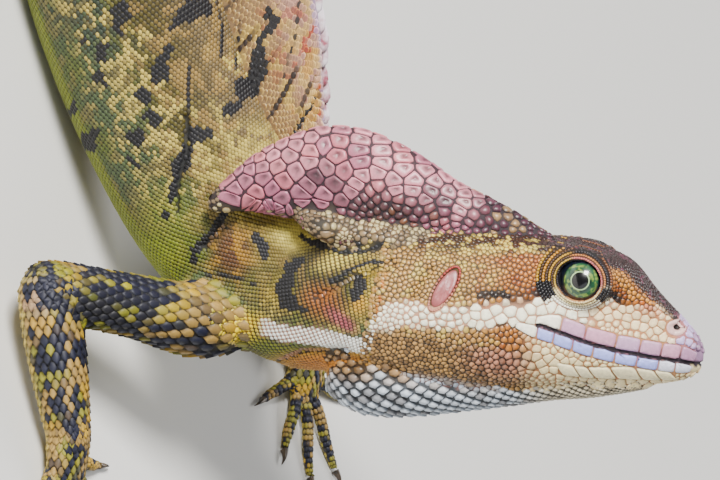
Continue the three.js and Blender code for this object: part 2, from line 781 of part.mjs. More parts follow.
// Everything is made, then cut clear of what it grows from
const headWhole = skull();
const neck = trunkLength(SKULL_END, 2.5, 4);
const chest = trunkLength(2.5, 4.9, 4);
const belly = trunkLength(4.9, 7.2, 3).intersect(ABOVE_FLOOR);
const pelvis = trunkLength(7.2, TRUNK_END, 3).intersect(ABOVE_FLOOR);
const trunkWhole = trunkLength(SKULL_END - 0.12, TRUNK_END + 0.1, 4);
const clearOfTrunk = grown(trunkWhole);
const clearOfHead = grown(headSolid(2, -1.5));

const TAIL_CUTS = [0, 2.2, 4.2, 6.0, 7.9, 10];
const tailLengths = TAIL_CUTS.slice(0, -1).map((from, k) =>
  tailLength(from, TAIL_CUTS[k + 1], [9, 7, 6, 6, 7][k], k > 2 ? 10 : TAIL_SIDES).intersect(
    ABOVE_FLOOR,
  ),
);
const clearOfTail = grown(tailLength(0, 10, 36, TAIL_SIDES));

const COLOURS = {
  skin: { color: 0x8f7a3a, roughness: 0.72, metalness: 0 },
  head: { color: 0xb98a4c, roughness: 0.68, metalness: 0 },
  throat: { color: 0xd9d6d0, roughness: 0.7, metalness: 0 },
  crest: { color: 0xb58a8c, roughness: 0.66, metalness: 0 },
  sail: { color: 0xa98a62, roughness: 0.7, metalness: 0 },
  limb: { color: 0x6d6426, roughness: 0.72, metalness: 0 },
  tail: { color: 0x7a6c3c, roughness: 0.72, metalness: 0 },
  eye: { color: 0x4f8a55, roughness: 0.08, metalness: 0 },
  claw: { color: 0x3a3128, roughness: 0.45, metalness: 0 },
};

const group = new THREE.Group();
function place(name, solid, finish) {
  const mesh = new THREE.Mesh(geometryOf(solid), new THREE.MeshStandardMaterial(COLOURS[finish]));
  mesh.name = name;
  group.add(mesh);
}

place("head", headWhole, "head");
place("eye_left", eye(1), "eye");
place("eye_right", eye(-1), "eye");
const crestSolid = largest(casque().subtract(clearOfHead).subtract(clearOfTrunk));
place("head_crest", crestSolid, "crest");
const clearOfNeck = grown(neck, GAP + 0.25);
const pouchSolid = largest(pouch().subtract(clearOfHead).subtract(clearOfTrunk).subtract(clearOfNeck));
place("throat_pouch", pouchSolid, "throat");
place("neck", neck, "skin");
place("chest", chest, "skin");
place("belly", belly, "skin");
place("pelvis", pelvis, "skin");
const sailSolid = largest(sail().subtract(clearOfTrunk).subtract(grown(crestSolid)));
place("back_crest", sailSolid, "sail");
tailLengths.forEach((solid, k) => place(`tail_${k + 1}`, solid, "tail"));
place("tail_crest", largest(tailSail().subtract(clearOfTail).subtract(clearOfTrunk)), "sail");

for (const [name, where] of Object.entries(FORELEGS)) {
  const { arm, forearm, hand, digits } = foreleg(where);
  place(`upper_arm_${name}`, largest(arm.subtract(clearOfTrunk)), "limb");
  place(`forearm_${name}`, forearm, "limb");
  place(`hand_${name}`, hand, "limb");
  digits.forEach((d) => place(`claw_hand_${name}_${d.name}`, d.claw, "claw"));
}
for (const [name, where] of Object.entries(HINDLEGS)) {
  const { upper, calf, pes, digits } = hindleg(where);
  place(`thigh_${name}`, largest(upper.subtract(clearOfTrunk)), "limb");
  place(`shin_${name}`, calf, "limb");
  place(`foot_${name}`, pes, "limb");
  digits.forEach((d) => place(`claw_foot_${name}_${d.name}`, d.claw, "claw"));
}

// The origin goes to the bottom centre of the box round everything
const box = new THREE.Box3().setFromObject(group);
const centre = box.getCenter(new THREE.Vector3());
group.position.set(-centre.x, -centre.y, -box.min.z);
export default group;
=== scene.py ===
# %% [markdown]
# # A common basilisk, life size
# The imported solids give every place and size. This script covers them with a living animal's
# finish: one skin, scales of several kinds, glossy eyes, horny claws and two rayed crests.
# Shapes are worked out in the maker's millimetres, as in the part's source, and are moved to
# the frame's metres when each mesh is made.

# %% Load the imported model
import math

import bpy
import numpy as np
from mathutils import Matrix, Vector
from mathutils.bvhtree import BVHTree
from mathutils.kdtree import KDTree


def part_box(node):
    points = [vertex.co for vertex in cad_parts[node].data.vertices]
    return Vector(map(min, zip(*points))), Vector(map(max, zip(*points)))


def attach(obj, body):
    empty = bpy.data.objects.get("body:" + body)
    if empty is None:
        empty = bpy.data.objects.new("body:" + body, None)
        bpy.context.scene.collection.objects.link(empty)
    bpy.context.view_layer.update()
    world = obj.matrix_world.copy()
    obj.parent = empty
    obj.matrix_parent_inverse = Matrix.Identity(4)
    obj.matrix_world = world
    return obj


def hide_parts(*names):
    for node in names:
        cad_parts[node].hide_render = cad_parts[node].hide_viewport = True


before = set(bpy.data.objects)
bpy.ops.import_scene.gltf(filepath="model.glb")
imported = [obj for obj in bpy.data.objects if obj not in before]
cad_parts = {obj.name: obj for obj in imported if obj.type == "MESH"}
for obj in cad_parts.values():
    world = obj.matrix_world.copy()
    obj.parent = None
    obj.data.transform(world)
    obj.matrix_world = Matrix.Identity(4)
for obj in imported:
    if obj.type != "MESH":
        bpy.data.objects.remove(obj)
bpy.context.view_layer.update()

# %% [markdown]
# ## Curves and frames
# A table of a few rows says how a form changes along its length, and a smooth curve runs through
# the rows. These are the same rules as in the solids, so that the skin lies where they are.

# %% Small tools for shapes
MM = 0.001
UP = np.array([0.0, 0.0, 1.0])


def unit(v):
    return v / np.maximum(np.linalg.norm(v, axis=-1, keepdims=True), 1e-9)


def smooth(t):
    t = np.clip(t, 0, 1)
    return t * t * (3 - 2 * t)


def lerp(a, b, t):
    return a + (b - a) * t


def through(table, t):
    table = np.asarray(table, float)
    t = np.atleast_1d(np.asarray(t, float))
    last = len(table) - 1
    i = np.clip(np.floor(t).astype(int), 0, last - 1)
    f = (t - i)[:, None]
    a, b, c, d = (table[np.clip(i + k, 0, last)] for k in (-1, 0, 1, 2))
    before = (c - a) / 2
    after = (d - b) / 2
    rise = c - b
    return b + f * (before + f * (3 * rise - 2 * before - after + f * (before + after - 2 * rise)))


def power(v, n):
    return np.sign(v) * np.abs(v) ** (2 / n)


def noise(points, size, seed=0):
    """Smooth random values from 0 to 1 in lumps about size millimetres across."""
    p = np.asarray(points, float) / size + 31.7 * seed
    cell = np.floor(p).astype(np.int64)
    f = smooth(p - cell)
    total = np.zeros(len(p))
    for corner in range(8):
        step = np.array([(corner >> k) & 1 for k in range(3)])
        c = cell + step
        h = (c[:, 0] * 73856093) ^ (c[:, 1] * 19349663) ^ (c[:, 2] * 83492791) ^ (seed * 40503)
        h = ((h ^ (h >> 13)) * 1274126177) & 0x7FFFFFFF
        value = ((h ^ (h >> 15)) & 0xFFFF) / 65535
        total += value * np.prod(np.where(step, f, 1 - f), axis=1)
    return total


# %% The head's frame
HEAD_RAISE = 60.5
HEAD_TURN = 20.5
HEAD_ROLL = -4.4
HEAD_AT = np.array([-12.0, -2.0, 64.4])
EYE_AT = np.array([24.6, 6.7, 8.35])
EYE_RADIUS = 4.3


def rotation(axis, degrees):
    return np.array(Matrix.Rotation(math.radians(degrees), 3, axis))


HEAD_TURNED = rotation("Y", -HEAD_RAISE) @ rotation("Z", HEAD_TURN) @ rotation("X", HEAD_ROLL)
HEAD_X, HEAD_Y, HEAD_Z = HEAD_TURNED.T


def in_head(p):
    return np.asarray(p, float) @ HEAD_TURNED.T + HEAD_AT


def to_head(p):
    return (np.asarray(p, float) - HEAD_AT) @ HEAD_TURNED


eye_low, eye_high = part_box("eye_right")
SHIFT = np.array((eye_low + eye_high) / 2) / MM - in_head(EYE_AT * [1, -1, 1])
FLOOR = -SHIFT[2]
print("the maker's zero lies at", np.round(SHIFT, 2), "mm in the frame")

# %% [markdown]
# ## The forms of the body
# Head, trunk, tail and limbs are tubes of many rings. Each function gives a grid of points,
# rings by sides, which serves twice: as a shell of the skin, and as the ground on which rows of
# scales are laid out.

# %% Head rings
HEAD_SECTIONS = [
    [-10, 9.5, 6.5, 7.5, 11.2, 0.5, 12.0, -6.0, 8.5, -13.5, -16.0],
    [0, 11.5, 7.0, 9.6, 12.2, 2.0, 13.2, -5.0, 9.5, -13.5, -16.8],
    [8, 12.4, 7.2, 10.6, 11.8, 3.0, 13.0, -4.5, 9.6, -12.8, -16.2],
    [14, 12.8, 7.6, 11.6, 10.8, 4.0, 12.2, -3.8, 9.0, -11.6, -15.0],
    [19, 13.2, 8.4, 12.4, 9.6, 6.0, 11.0, -3.2, 8.2, -10.4, -13.6],
    [24, 13.4, 8.6, 12.8, 8.8, 7.0, 9.8, -3.0, 7.2, -9.2, -12.2],
    [29, 12.6, 7.8, 11.2, 7.4, 5.5, 8.6, -3.0, 6.2, -8.2, -10.8],
    [34, 10.2, 5.8, 8.6, 6.0, 3.6, 7.2, -3.0, 5.2, -7.2, -9.4],
    [39, 7.0, 4.4, 5.6, 5.0, 2.4, 5.8, -3.0, 4.2, -6.4, -8.2],
    [43, 4.2, 3.2, 3.4, 4.0, 1.0, 4.4, -3.0, 3.2, -5.6, -7.0],
    [45.6, 2.2, 2.0, 1.6, 2.7, -0.4, 2.9, -3.0, 2.1, -4.8, -5.6],
    [47.2, 0.0, 0.9, -0.4, 1.2, -1.4, 1.2, -2.8, 0.8, -3.8, -4.2],
]
SNOUT_TIP = [47.7, 0, -2.4]
SIDES = 120


def head_outline(row, sides=SIDES):
    """A head section as points [y, z], evenly spaced from the crown round by the right."""
    _, crown, by, bz, cy, cz, ly, lz, jy, jz, chin = row
    right = [[0, crown], [-by, bz], [-cy, cz], [-ly, lz], [-jy, jz], [0, chin]]
    left = [[-y, z] for y, z in right[4:0:-1]]
    p1 = np.array(right + left)
    p0, p2, p3 = np.roll(p1, 1, 0), np.roll(p1, -1, 0), np.roll(p1, -2, 0)
    d0, d1, d2 = (np.linalg.norm(b - a, axis=1)[:, None] ** 0.5 for a, b in ((p0, p1), (p1, p2), (p2, p3)))
    m1 = d1 * ((p1 - p0) / d0 - (p2 - p0) / (d0 + d1) + (p2 - p1) / d1)
    m2 = d1 * ((p2 - p1) / d1 - (p3 - p1) / (d1 + d2) + (p3 - p2) / d2)
    t = np.linspace(0, 1, 40, endpoint=False)[None, :, None]
    a, b, c = m1[:, None], m2[:, None], (p2 - p1)[:, None]
    line = p1[:, None] + t * (a + t * (3 * c - 2 * a - b + t * (a + b - 2 * c)))
    line = line.reshape(-1, 2)
    line = np.vstack([line, line[:1]])
    run = np.concatenate([[0], np.cumsum(np.linalg.norm(np.diff(line, axis=0), axis=1))])
    at = np.linspace(0, run[-1], sides, endpoint=False)
    return np.stack([np.interp(at, run, line[:, k]) for k in (0, 1)], axis=1)


def head_grid():
    rows = through(HEAD_SECTIONS, np.linspace(0, len(HEAD_SECTIONS) - 1, 90))
    rings = []
    for row in rows:
        yz = head_outline(row)
        rings.append(in_head(np.column_stack([np.full(SIDES, row[0]), yz])))
    return np.array(rings)


# %% Trunk rings
NECK_JOINT = np.array([-10.0, 0.0, -3.3])
TRUNK = [
    [*in_head(NECK_JOINT + [12, 0, 0]), 12.2, 12.8, 12.7],
    [*in_head(NECK_JOINT), 12.0, 12.8, 12.7],
    [-18, -3, 39, 11.8, 14, 14.5],
    [-33.9, -0.5, 26.8, 13.6, 17.2, 17],
    [-54, 0, 20.5, 14.6, 18, 17.6],
    [-75, 0, 18.6, 15.5, 18.5, 18.7],
    [-97, 0, 19.2, 16.8, 19, 19.4],
    [-118, 0, 18.6, 16.2, 17.6, 18.8],
    [-138, 0, 15.6, 13, 14.6, 15.4],
    [-156, 0, 12.4, 10.6, 11.8, 12.5],
    [-172, 0, 10, 9.2, 9.9, 10.1],
]
SKULL_END = 1
TRUNK_END = 10
BACK_POWER = 1.75
BELLY_POWER = 2.35


def trunk_frames(t):
    t = np.atleast_1d(np.asarray(t, float))
    rows = through(TRUNK, t)
    forward = unit(through(TRUNK, t - 0.01)[:, :3] - through(TRUNK, t + 0.01)[:, :3])
    forward = unit(lerp(forward, HEAD_X, smooth(1 - (t - SKULL_END) / 1.2)[:, None]))
    forward[:, 2] *= smooth(TRUNK_END - t)
    forward = unit(forward)
    dorsal = lerp(UP, HEAD_Z, smooth(1 - (t - SKULL_END) / 2)[:, None])
    up = unit(dorsal - np.sum(dorsal * forward, axis=1, keepdims=True) * forward)
    return rows[:, :3], forward, up, np.cross(up, forward), rows[:, 3:]


def body_outline(wide, over, under):
    angle = 2 * np.pi * np.arange(SIDES) / SIDES
    c = np.cos(angle)
    back = c > 0
    y = -wide * np.where(back, np.sin(angle), power(np.sin(angle), BELLY_POWER))
    z = np.where(back, over * power(c, BACK_POWER), under * power(c, BELLY_POWER))
    return np.stack([y, z], axis=1)


def trunk_grid(t):
    centre, forward, up, left, sizes = trunk_frames(t)
    skull = head_outline(HEAD_SECTIONS[0]) - [0, NECK_JOINT[2]]
    rings = []
    for k, at in enumerate(t):
        yz = lerp(body_outline(*sizes[k]), skull, smooth(1 - (at - SKULL_END) / 1.3))
        rings.append(centre[k] + yz[:, :1] * left[k] + yz[:, 1:] * up[k])
    return np.array(rings)


# %% Tail rings
TAIL = [
    [-172, 0, 10, 9.2],
    [-200, 0, 8.9, 8.0],
    [-235, -1, 7.9, 6.9],
    [-290, -1, 6.5, 5.4],
    [-350, 2, 5.4, 4.4],
    [-410, 12, 4.4, 3.7],
    [-466, 28, 3.6, 3.0],
    [-522, 46, 2.9, 2.4],
    [-578, 58, 2.3, 1.9],
    [-632, 58, 1.7, 1.4],
    [-682, 44, 1.1, 0.9],
]
TAIL_SETTLE = 0.15


def tail_frames(t):
    t = np.atleast_1d(np.asarray(t, float))
    x, y, tall, wide = through(TAIL, t).T
    ahead = through(TAIL, t - 0.01)[:, :2] - through(TAIL, t + 0.01)[:, :2]
    forward = unit(np.column_stack([ahead, np.zeros(len(t))]))
    centre = np.stack([x, y, tall - TAIL_SETTLE * np.clip(t, 0, 1)], axis=1)
    return centre, forward, np.cross(UP, forward), tall, wide


def tail_grid(t):
    centre, forward, left, tall, wide = tail_frames(t)
    rings = []
    for k in range(len(t)):
        yz = body_outline(wide[k], tall[k], tall[k])
        rings.append(centre[k] + yz[:, :1] * left[k] + yz[:, 1:] * UP)
    return np.array(rings)


# %% Limb and digit rings
def limb_grid(rows, sides=40, per_row=8):
    last = len(rows) - 1
    t = np.linspace(0, last, last * per_row + 1)
    line = through(rows, t)
    ahead = through(rows, np.minimum(last, t + 0.02))[:, :3]
    behind = through(rows, np.maximum(0, t - 0.02))[:, :3]
    forward = unit(ahead - behind)
    side = unit(np.cross(UP, forward))
    up = np.cross(forward, side)
    angle = (2 * np.pi * np.arange(sides) / sides)[None, :, None]
    across, tall = line[:, 3, None, None], line[:, 4, None, None]
    rings = -across * np.sin(angle) * side[:, None] + tall * np.cos(angle) * up[:, None]
    return line[:, None, :3] + rings


def between(a, b, t):
    return [lerp(p, q, t) for p, q in zip(a, b)]


CLAW = {"length": 2.8, "radius": 0.62, "tip": 0.45, "start": 0.42}


def digit_rows(base, heading, reach, radius, lift):
    out = np.array([math.cos(math.radians(heading)), math.sin(math.radians(heading))])
    arch = [[-0.1, 0.6, 1.15], [0.3, 1.2, 1.05], [0.7, 0.15, 0.95], [1, 0, 0.7]]
    rows = []
    for share, rise, girth in arch:
        at = np.array(base[:2]) + out * share * reach
        thick = radius * girth
        rows.append([*at, thick * 0.84 + lift * rise, thick, thick])
    return rows, out


FORELEG_RADII = {"root": 6.2, "shoulder": 6.6, "upper": 5.6, "elbow": 5.1, "forearm": 5.5, "wrist": 4.4}
FINGERS = [(78, 9.5), (38, 13), (12, 16.5), (-14, 17), (-62, 11.5)]
FORELEGS = {
    "right": (-1, [-17, -12.5, 23.7], [-29.7, -38, 9.5], [-4.5, -36.8, 5.2]),
    "left": (1, [-17, 12, 24], [-26, 38, 12], [-7, 49, 5.4]),
}


def foreleg(side, shoulder, elbow, wrist):
    r = FORELEG_RADII
    root = [shoulder[0] - 3, shoulder[1] - side * 8.5, shoulder[2] + 3.5]
    arm = [
        [*root, r["root"], r["root"]],
        [*shoulder, r["shoulder"], r["shoulder"] + 1.2],
        [*between(shoulder, elbow, 0.5), r["upper"], r["upper"]],
        [*elbow, r["elbow"], r["elbow"]],
        [*between(shoulder, elbow, 1.12), r["elbow"] * 0.62, r["elbow"] * 0.62],
    ]
    lower = [
        [*between(elbow, wrist, -0.13), r["elbow"] * 0.62, r["elbow"] * 0.62],
        [*elbow, r["elbow"], r["elbow"]],
        [*between(elbow, wrist, 0.4), r["forearm"], r["forearm"] - 0.3],
        [*wrist, r["wrist"], r["wrist"] - 0.6],
        [*between(elbow, wrist, 1.12), r["wrist"] * 0.8, r["wrist"] * 0.62],
    ]
    palm_end = [wrist[0] + 7.5, wrist[1], 2.5]
    palm = [
        [*between(wrist, palm_end, -0.25), 3.4, 3],
        [*wrist, 4.4, 3.7],
        [*between(wrist, palm_end, 0.55), 5.2, 2.9],
        [*palm_end, 4.6, 2.3],
        [palm_end[0] + 2, palm_end[1], 2.2, 2.8, 1.6],
    ]
    digits = []
    for heading, reach in FINGERS:
        spread = -side * math.radians(heading)
        base = [palm_end[0] - 3 + 3.2 * math.cos(spread), palm_end[1] + 4.2 * math.sin(spread)]
        digits.append(digit_rows(base, -side * heading, reach, 1.3, 0.9))
    return [arm, lower, palm], digits


HINDLEG_RADII = {"root": 11, "hip": 9.8, "thigh": 8.4, "knee": 6.1, "calf": 6.4, "ankle": 4.1}
TOES = [(62, 11), (32, 19), (12, 30), (-4, 42), (-48, 22)]
HINDLEGS = {
    "right": (-1, [-143, -8.5, 14], [-108, -41, 25], [-146, -57, 7], [-122, -64, 3], -14),
    "left": (1, [-143, 8.5, 14], [-114, 44, 23], [-154, 56, 7], [-131, 66, 3], 22),
}


def hindleg(side, hip, knee, ankle, sole, aim):
    r = HINDLEG_RADII
    root = [hip[0] - 3, hip[1] - side * 4, hip[2]]
    thigh = [
        [*root, r["root"], r["root"] - 1],
        [*hip, r["hip"] + 0.6, r["hip"]],
        [*between(hip, knee, 0.42), r["thigh"], r["thigh"] + 0.8],
        [*knee, r["knee"], r["knee"]],
        [*between(hip, knee, 1.09), r["knee"] * 0.6, r["knee"] * 0.6],
    ]
    shin = [
        [*between(knee, ankle, -0.09), r["knee"] * 0.6, r["knee"] * 0.6],
        [*knee, r["knee"], r["knee"]],
        [*between(knee, ankle, 0.35), r["calf"], r["calf"]],
        [*between(knee, ankle, 0.75), r["ankle"] + 0.5, r["ankle"] + 0.7],
        [*ankle, r["ankle"], r["ankle"]],
        [*between(knee, ankle, 1.07), r["ankle"] * 0.62, r["ankle"] * 0.62],
    ]
    foot = [
        [*between(ankle, sole, -0.15), 2.8, 2.4],
        [*ankle, 4.0, 4.2],
        [*between(ankle, sole, 0.5), 4.6, 3.4],
        [*sole, 5.4, 2.6],
        [*between(ankle, sole, 1.15), 3.6, 1.8],
    ]
    digits = []
    for heading, reach in TOES:
        spread = aim - side * heading
        turned = math.radians(spread)
        base = [sole[0] - 2 + 2.8 * math.cos(turned), sole[1] + 4.4 * math.sin(turned)]
        digits.append(digit_rows(base, spread, reach, 1.55, 1.0))
    return [thigh, shin, foot], digits


# %% Crest and pouch rings
CASQUE = [
    [17.5, 14.0, 11.5, 0.8],
    [10.5, 16.3, 9.0, 2.8],
    [4.8, 18.0, 7, 3.8],
    [-0.8, 19.5, 5, 4.4],
    [-6.6, 21.9, 4.5, 4.8],
    [-12.4, 23.8, 4.4, 4.9],
    [-18.8, 24.8, 3.8, 4.6],
    [-25.6, 23.8, 6.0, 4.0],
    [-31.1, 20.8, 6.2, 3.4],
    [-36.3, 16.6, 5.6, 2.7],
    [-40.4, 11.6, 4.4, 1.9],
    [-42.6, 8.2, 4.6, 1.0],
]
POUCH = [
    [-16.3, -10, -20.9, 4.4],
    [-13.3, -7, -23.0, 6.8],
    [-8.7, -6, -24.2, 8.3],
    [-1.8, -6, -23.2, 8.8],
    [6.4, -6, -20.6, 8.3],
    [14.6, -6, -17.8, 7.0],
    [24, -6, -14.4, 5.0],
    [29, -6, -13.0, 4.3],
    [34, -5.5, -11.2, 3.6],
    [39, -5, -9.2, 2.6],
]


def lobe_grid(table, upper_power, sides=72, per_row=8):
    rings = []
    angle = 2 * np.pi * np.arange(sides) / sides
    c = np.cos(angle)
    for x, top, bottom, wide in through(table, np.linspace(0, len(table) - 1, len(table) * per_row)):
        tall = (top - bottom) / 2
        z = (top + bottom) / 2 + tall * np.where(c > 0, power(c, upper_power), power(c, 2.1))
        rings.append(in_head(np.stack([np.full(sides, x), -wide * np.sin(angle), z], axis=1)))
    return np.array(rings)


# %% [markdown]
# ## One skin
# Every shell is closed, and they run into each other at the shoulders, hips and neck. A voxel
# remesh melts them into one surface, as real skin runs over joints without a seam, and a few
# rounds of smoothing soften the melted corners. The result is drawn in by the depth of the
# scales that go over it.

# %% Melt the shells into one surface
VOXEL = 0.55
COAT_DEPTH = 0.25


def shell(grid, start=None, end=None):
    """Closed tube over a grid of rings as (points, triangles)."""
    rings, sides = grid.shape[:2]
    start = grid[0].mean(0) if start is None else start
    end = grid[-1].mean(0) if end is None else end
    points = np.vstack([grid.reshape(-1, 3), start, end])
    i, j = np.meshgrid(np.arange(rings - 1), np.arange(sides), indexing="ij")
    k = (j + 1) % sides
    a, b, c, d = i * sides + j, i * sides + k, (i + 1) * sides + j, (i + 1) * sides + k
    quads = np.stack([a, c, b, b, c, d], axis=-1).reshape(-1, 3)
    j = np.arange(sides)
    k = (j + 1) % sides
    first, last, top = len(points) - 2, len(points) - 1, (rings - 1) * sides
    caps = np.vstack([np.stack([np.full(sides, first), j, k], 1), np.stack([np.full(sides, last), top + k, top + j], 1)])
    faces = np.vstack([quads, caps])
    corners = points[faces]
    volume = np.einsum("ij,ij->i", corners[:, 0], np.cross(corners[:, 1], corners[:, 2])).sum()
    return points, faces if volume > 0 else faces[:, ::-1]


def ball(centre, radii, count=48):
    polar = np.linspace(0.02, np.pi - 0.02, count // 2)
    around = np.linspace(0, 2 * np.pi, count, endpoint=False)
    p, a = np.meshgrid(polar, around, indexing="ij")
    grid = np.stack([np.sin(p) * np.cos(a), np.sin(p) * np.sin(a), np.cos(p)], axis=-1)
    return in_head(grid * radii + centre)


def mesh_object(name, points, faces, tidy=True):
    """A Blender mesh from maker's millimetres, set in the frame's metres."""
    mesh = bpy.data.meshes.new(name)
    mesh.vertices.add(len(points))
    mesh.vertices.foreach_set("co", ((np.asarray(points) + SHIFT) * MM).astype(np.float32).ravel())
    faces = np.asarray(faces)
    count, corners = faces.shape
    mesh.loops.add(count * corners)
    mesh.loops.foreach_set("vertex_index", faces.astype(np.int32).ravel())
    mesh.polygons.add(count)
    mesh.polygons.foreach_set("loop_start", np.arange(0, count * corners, corners, dtype=np.int32))
    mesh.update(calc_edges=True)
    if tidy:
        mesh.validate()
    made = bpy.data.objects.new(name, mesh)
    bpy.context.scene.collection.objects.link(made)
    return made


def read_mesh(mesh):
    points = np.empty(len(mesh.vertices) * 3, np.float32)
    mesh.vertices.foreach_get("co", points)
    mesh.calc_loop_triangles()
    faces = np.empty(len(mesh.loop_triangles) * 3, np.int32)
    mesh.loop_triangles.foreach_get("vertices", faces)
    return points.reshape(-1, 3).astype(float) / MM - SHIFT, faces.reshape(-1, 3)


def apply_modifiers(made):
    """The object's mesh with its modifiers carried out, and the modifiers gone."""
    bpy.context.view_layer.update()
    graph = bpy.context.evaluated_depsgraph_get()
    mesh = bpy.data.meshes.new_from_object(made.evaluated_get(graph))
    made.modifiers.clear()
    made.data = mesh
    return made


def outward(points, faces):
    """Smooth normals at the points of a triangle mesh."""
    a, b, c = (points[faces[:, k]] for k in range(3))
    face_normals = np.cross(b - a, c - a)
    total = np.zeros_like(points)
    for k in range(3):
        for axis in range(3):
            total[:, axis] += np.bincount(faces[:, k], face_normals[:, axis], len(points))
    return unit(total)


def tree_of(p):
    made = KDTree(len(p))
    for k, q in enumerate(p.tolist()):
        made.insert(q, k)
    made.balance()
    return made


TRUNK_T = np.linspace(SKULL_END - 0.12, TRUNK_END + 0.06, 260)
TAIL_T = np.linspace(-0.06, 10, 420)
trunk = trunk_grid(TRUNK_T)
tail = tail_grid(TAIL_T)
head = head_grid()
casque = lobe_grid(CASQUE, 1.7)
pouch = lobe_grid(POUCH, 2)
limbs = {}
for name, where in FORELEGS.items():
    limbs[f"foreleg_{name}"] = foreleg(*where)
for name, where in HINDLEGS.items():
    limbs[f"hindleg_{name}"] = hindleg(*where)

# The free rear of the head crest hangs just clear of the nape
CREST_CLEAR = 1.25
trunk_points, trunk_faces = shell(trunk)
trunk_normals = outward(trunk_points, trunk_faces)
tree = tree_of(trunk_points)
flat = casque.reshape(-1, 3)
nearest = np.array([tree.find(p)[1] for p in flat.tolist()])
depth = np.sum((flat - trunk_points[nearest]) * trunk_normals[nearest], axis=1)
free = smooth((-9.5 - to_head(flat)[:, 0]) / 3)
flat += trunk_normals[nearest] * (np.clip(CREST_CLEAR - depth, 0, 9) * free)[:, None]
casque = flat.reshape(casque.shape)

shells = [
    shell(head, end=in_head(SNOUT_TIP)),
    shell(trunk),
    shell(tail),
    shell(casque, start=in_head([18.6, 0, 12.6]), end=in_head([-43.3, 0, 6.4])),
    shell(pouch, start=in_head([-17.8, 0, -16.5]), end=in_head([41.5, 0, -6.5])),
]
LID_RADII = np.array([5.7, 5.3, 5.15])
for side in (-1, 1):
    shells.append(shell(ball(EYE_AT * [1, side, 1], LID_RADII)))

# A soft pad swells under the crest on each side of the nape. Each row has its place along the
# head, its height, how far it stands out from the neck, and half its thickness and height.
PAD = [
    [-27, 7.6, -1.4, 0.9, 1.0],
    [-23.5, 7.2, 0.5, 1.9, 2.0],
    [-18.5, 6.7, 1.3, 2.6, 2.9],
    [-12.5, 6.9, 1.4, 2.7, 3.0],
    [-7.5, 7.9, 0.7, 2.1, 2.4],
    [-3, 9.0, -1.6, 1.0, 1.2],
]
neck_tree = BVHTree.FromPolygons(trunk_points.tolist(), trunk_faces.tolist())
PAD_RINGS = 40
NECK_SIDE = (4.5, 7.5)
pads = []
for side in (-1, 1):
    pad_rows = through(PAD, np.linspace(0, len(PAD) - 1, PAD_RINGS))
    starts = [Vector(in_head([x, side * 30.0, z])) for x, z in pad_rows[:, :2]]
    hits = [neck_tree.ray_cast(start, Vector(-side * HEAD_Y))[0] for start in starts]
    met = [k for k, hit in enumerate(hits) if hit is not None]
    reach = np.interp(np.arange(PAD_RINGS), met, [abs(to_head(np.array(hits[k]))[1]) for k in met])
    print("rays that meet the neck:", len(met), "of", PAD_RINGS, "at", np.round(reach[::5], 1), "mm")
    # A ray may skim the nape's ridge or meet the shoulder beyond it, so what it reads is kept to
    # the neck's own half width, and smoothed, so that the pad has no step in it
    reach = np.clip(reach, *NECK_SIDE)
    reach = np.convolve(np.pad(reach, 3, mode="edge"), np.full(7, 1 / 7), mode="valid")
    rings = []
    for (x, z, out, thick, tall), neck_side in zip(pad_rows, reach):
        angle = np.linspace(0, 2 * np.pi, 36, endpoint=False)
        y = neck_side + out - thick + thick * np.cos(angle)
        rings.append(in_head(np.stack([np.full(36, x), side * y, z + tall * np.sin(angle)], 1)))
    pads.append(np.array(rings))
    shells.append(shell(pads[-1]))
    print("the pad stands", np.round(np.abs(to_head(pads[-1].reshape(-1, 3))[:, 1]).max(), 1), "mm out")
for segments, digits in limbs.values():
    for rows in segments:
        shells.append(shell(limb_grid(rows)))
    for rows, _ in digits:
        shells.append(shell(limb_grid(rows, 20)))


def merged(parts):
    offset = np.cumsum([0] + [len(p) for p, _ in parts[:-1]])
    return np.vstack([p for p, _ in parts]), np.vstack([f + o for (_, f), o in zip(parts, offset)])


skin = mesh_object("skin", *merged(shells))
melt = skin.modifiers.new("melt", "REMESH")
melt.mode = "VOXEL"
melt.voxel_size = VOXEL * MM
apply_modifiers(skin)
points, faces = read_mesh(skin.data)
print("the melted skin has", len(faces), "triangles")

# %% Smooth it, more where limbs join the body
edges = np.unique(np.sort(np.vstack([faces[:, [0, 1]], faces[:, [1, 2]], faces[:, [2, 0]]]), axis=1), axis=0)
degree = np.bincount(edges.ravel(), minlength=len(points))[:, None]


def soften(points, amount, rounds):
    for _ in range(rounds):
        total = np.zeros_like(points)
        for axis in range(3):
            total[:, axis] = np.bincount(edges[:, 0], points[edges[:, 1], axis], len(points))
            total[:, axis] += np.bincount(edges[:, 1], points[edges[:, 0], axis], len(points))
        points = points + (total / degree - points) * amount
    return points


def near(points, spots, reach):
    closeness = np.zeros(len(points))
    for spot in spots:
        away = np.linalg.norm(points - np.array(spot), axis=1)
        closeness = np.maximum(closeness, smooth(1.6 - away / reach))
    return closeness[:, None]


JOINING = [FORELEGS["right"][1], FORELEGS["left"][1], HINDLEGS["right"][1], HINDLEGS["left"][1]]
points = soften(points, 0.5, 3)
points = soften(points, 0.55 * near(points, JOINING, 14), 26)
normals = outward(points, faces)
points = points - normals * COAT_DEPTH
h = to_head(points)
bump = 0.9 * np.exp(-(((h[:, 0] - 32.2) / 3.4) ** 2)) * smooth((h[:, 2] - 5) / 4)
points += HEAD_Z * bump[:, None]

# %% [markdown]
# ## The camera
# The animal clung to an upright trunk in the photograph and rests on the floor here, so the camera
# is turned with it: it looks down at 30 degrees on the right side, rolled so that the head points
# right. It is set first, because the markings are placed by what it sees.

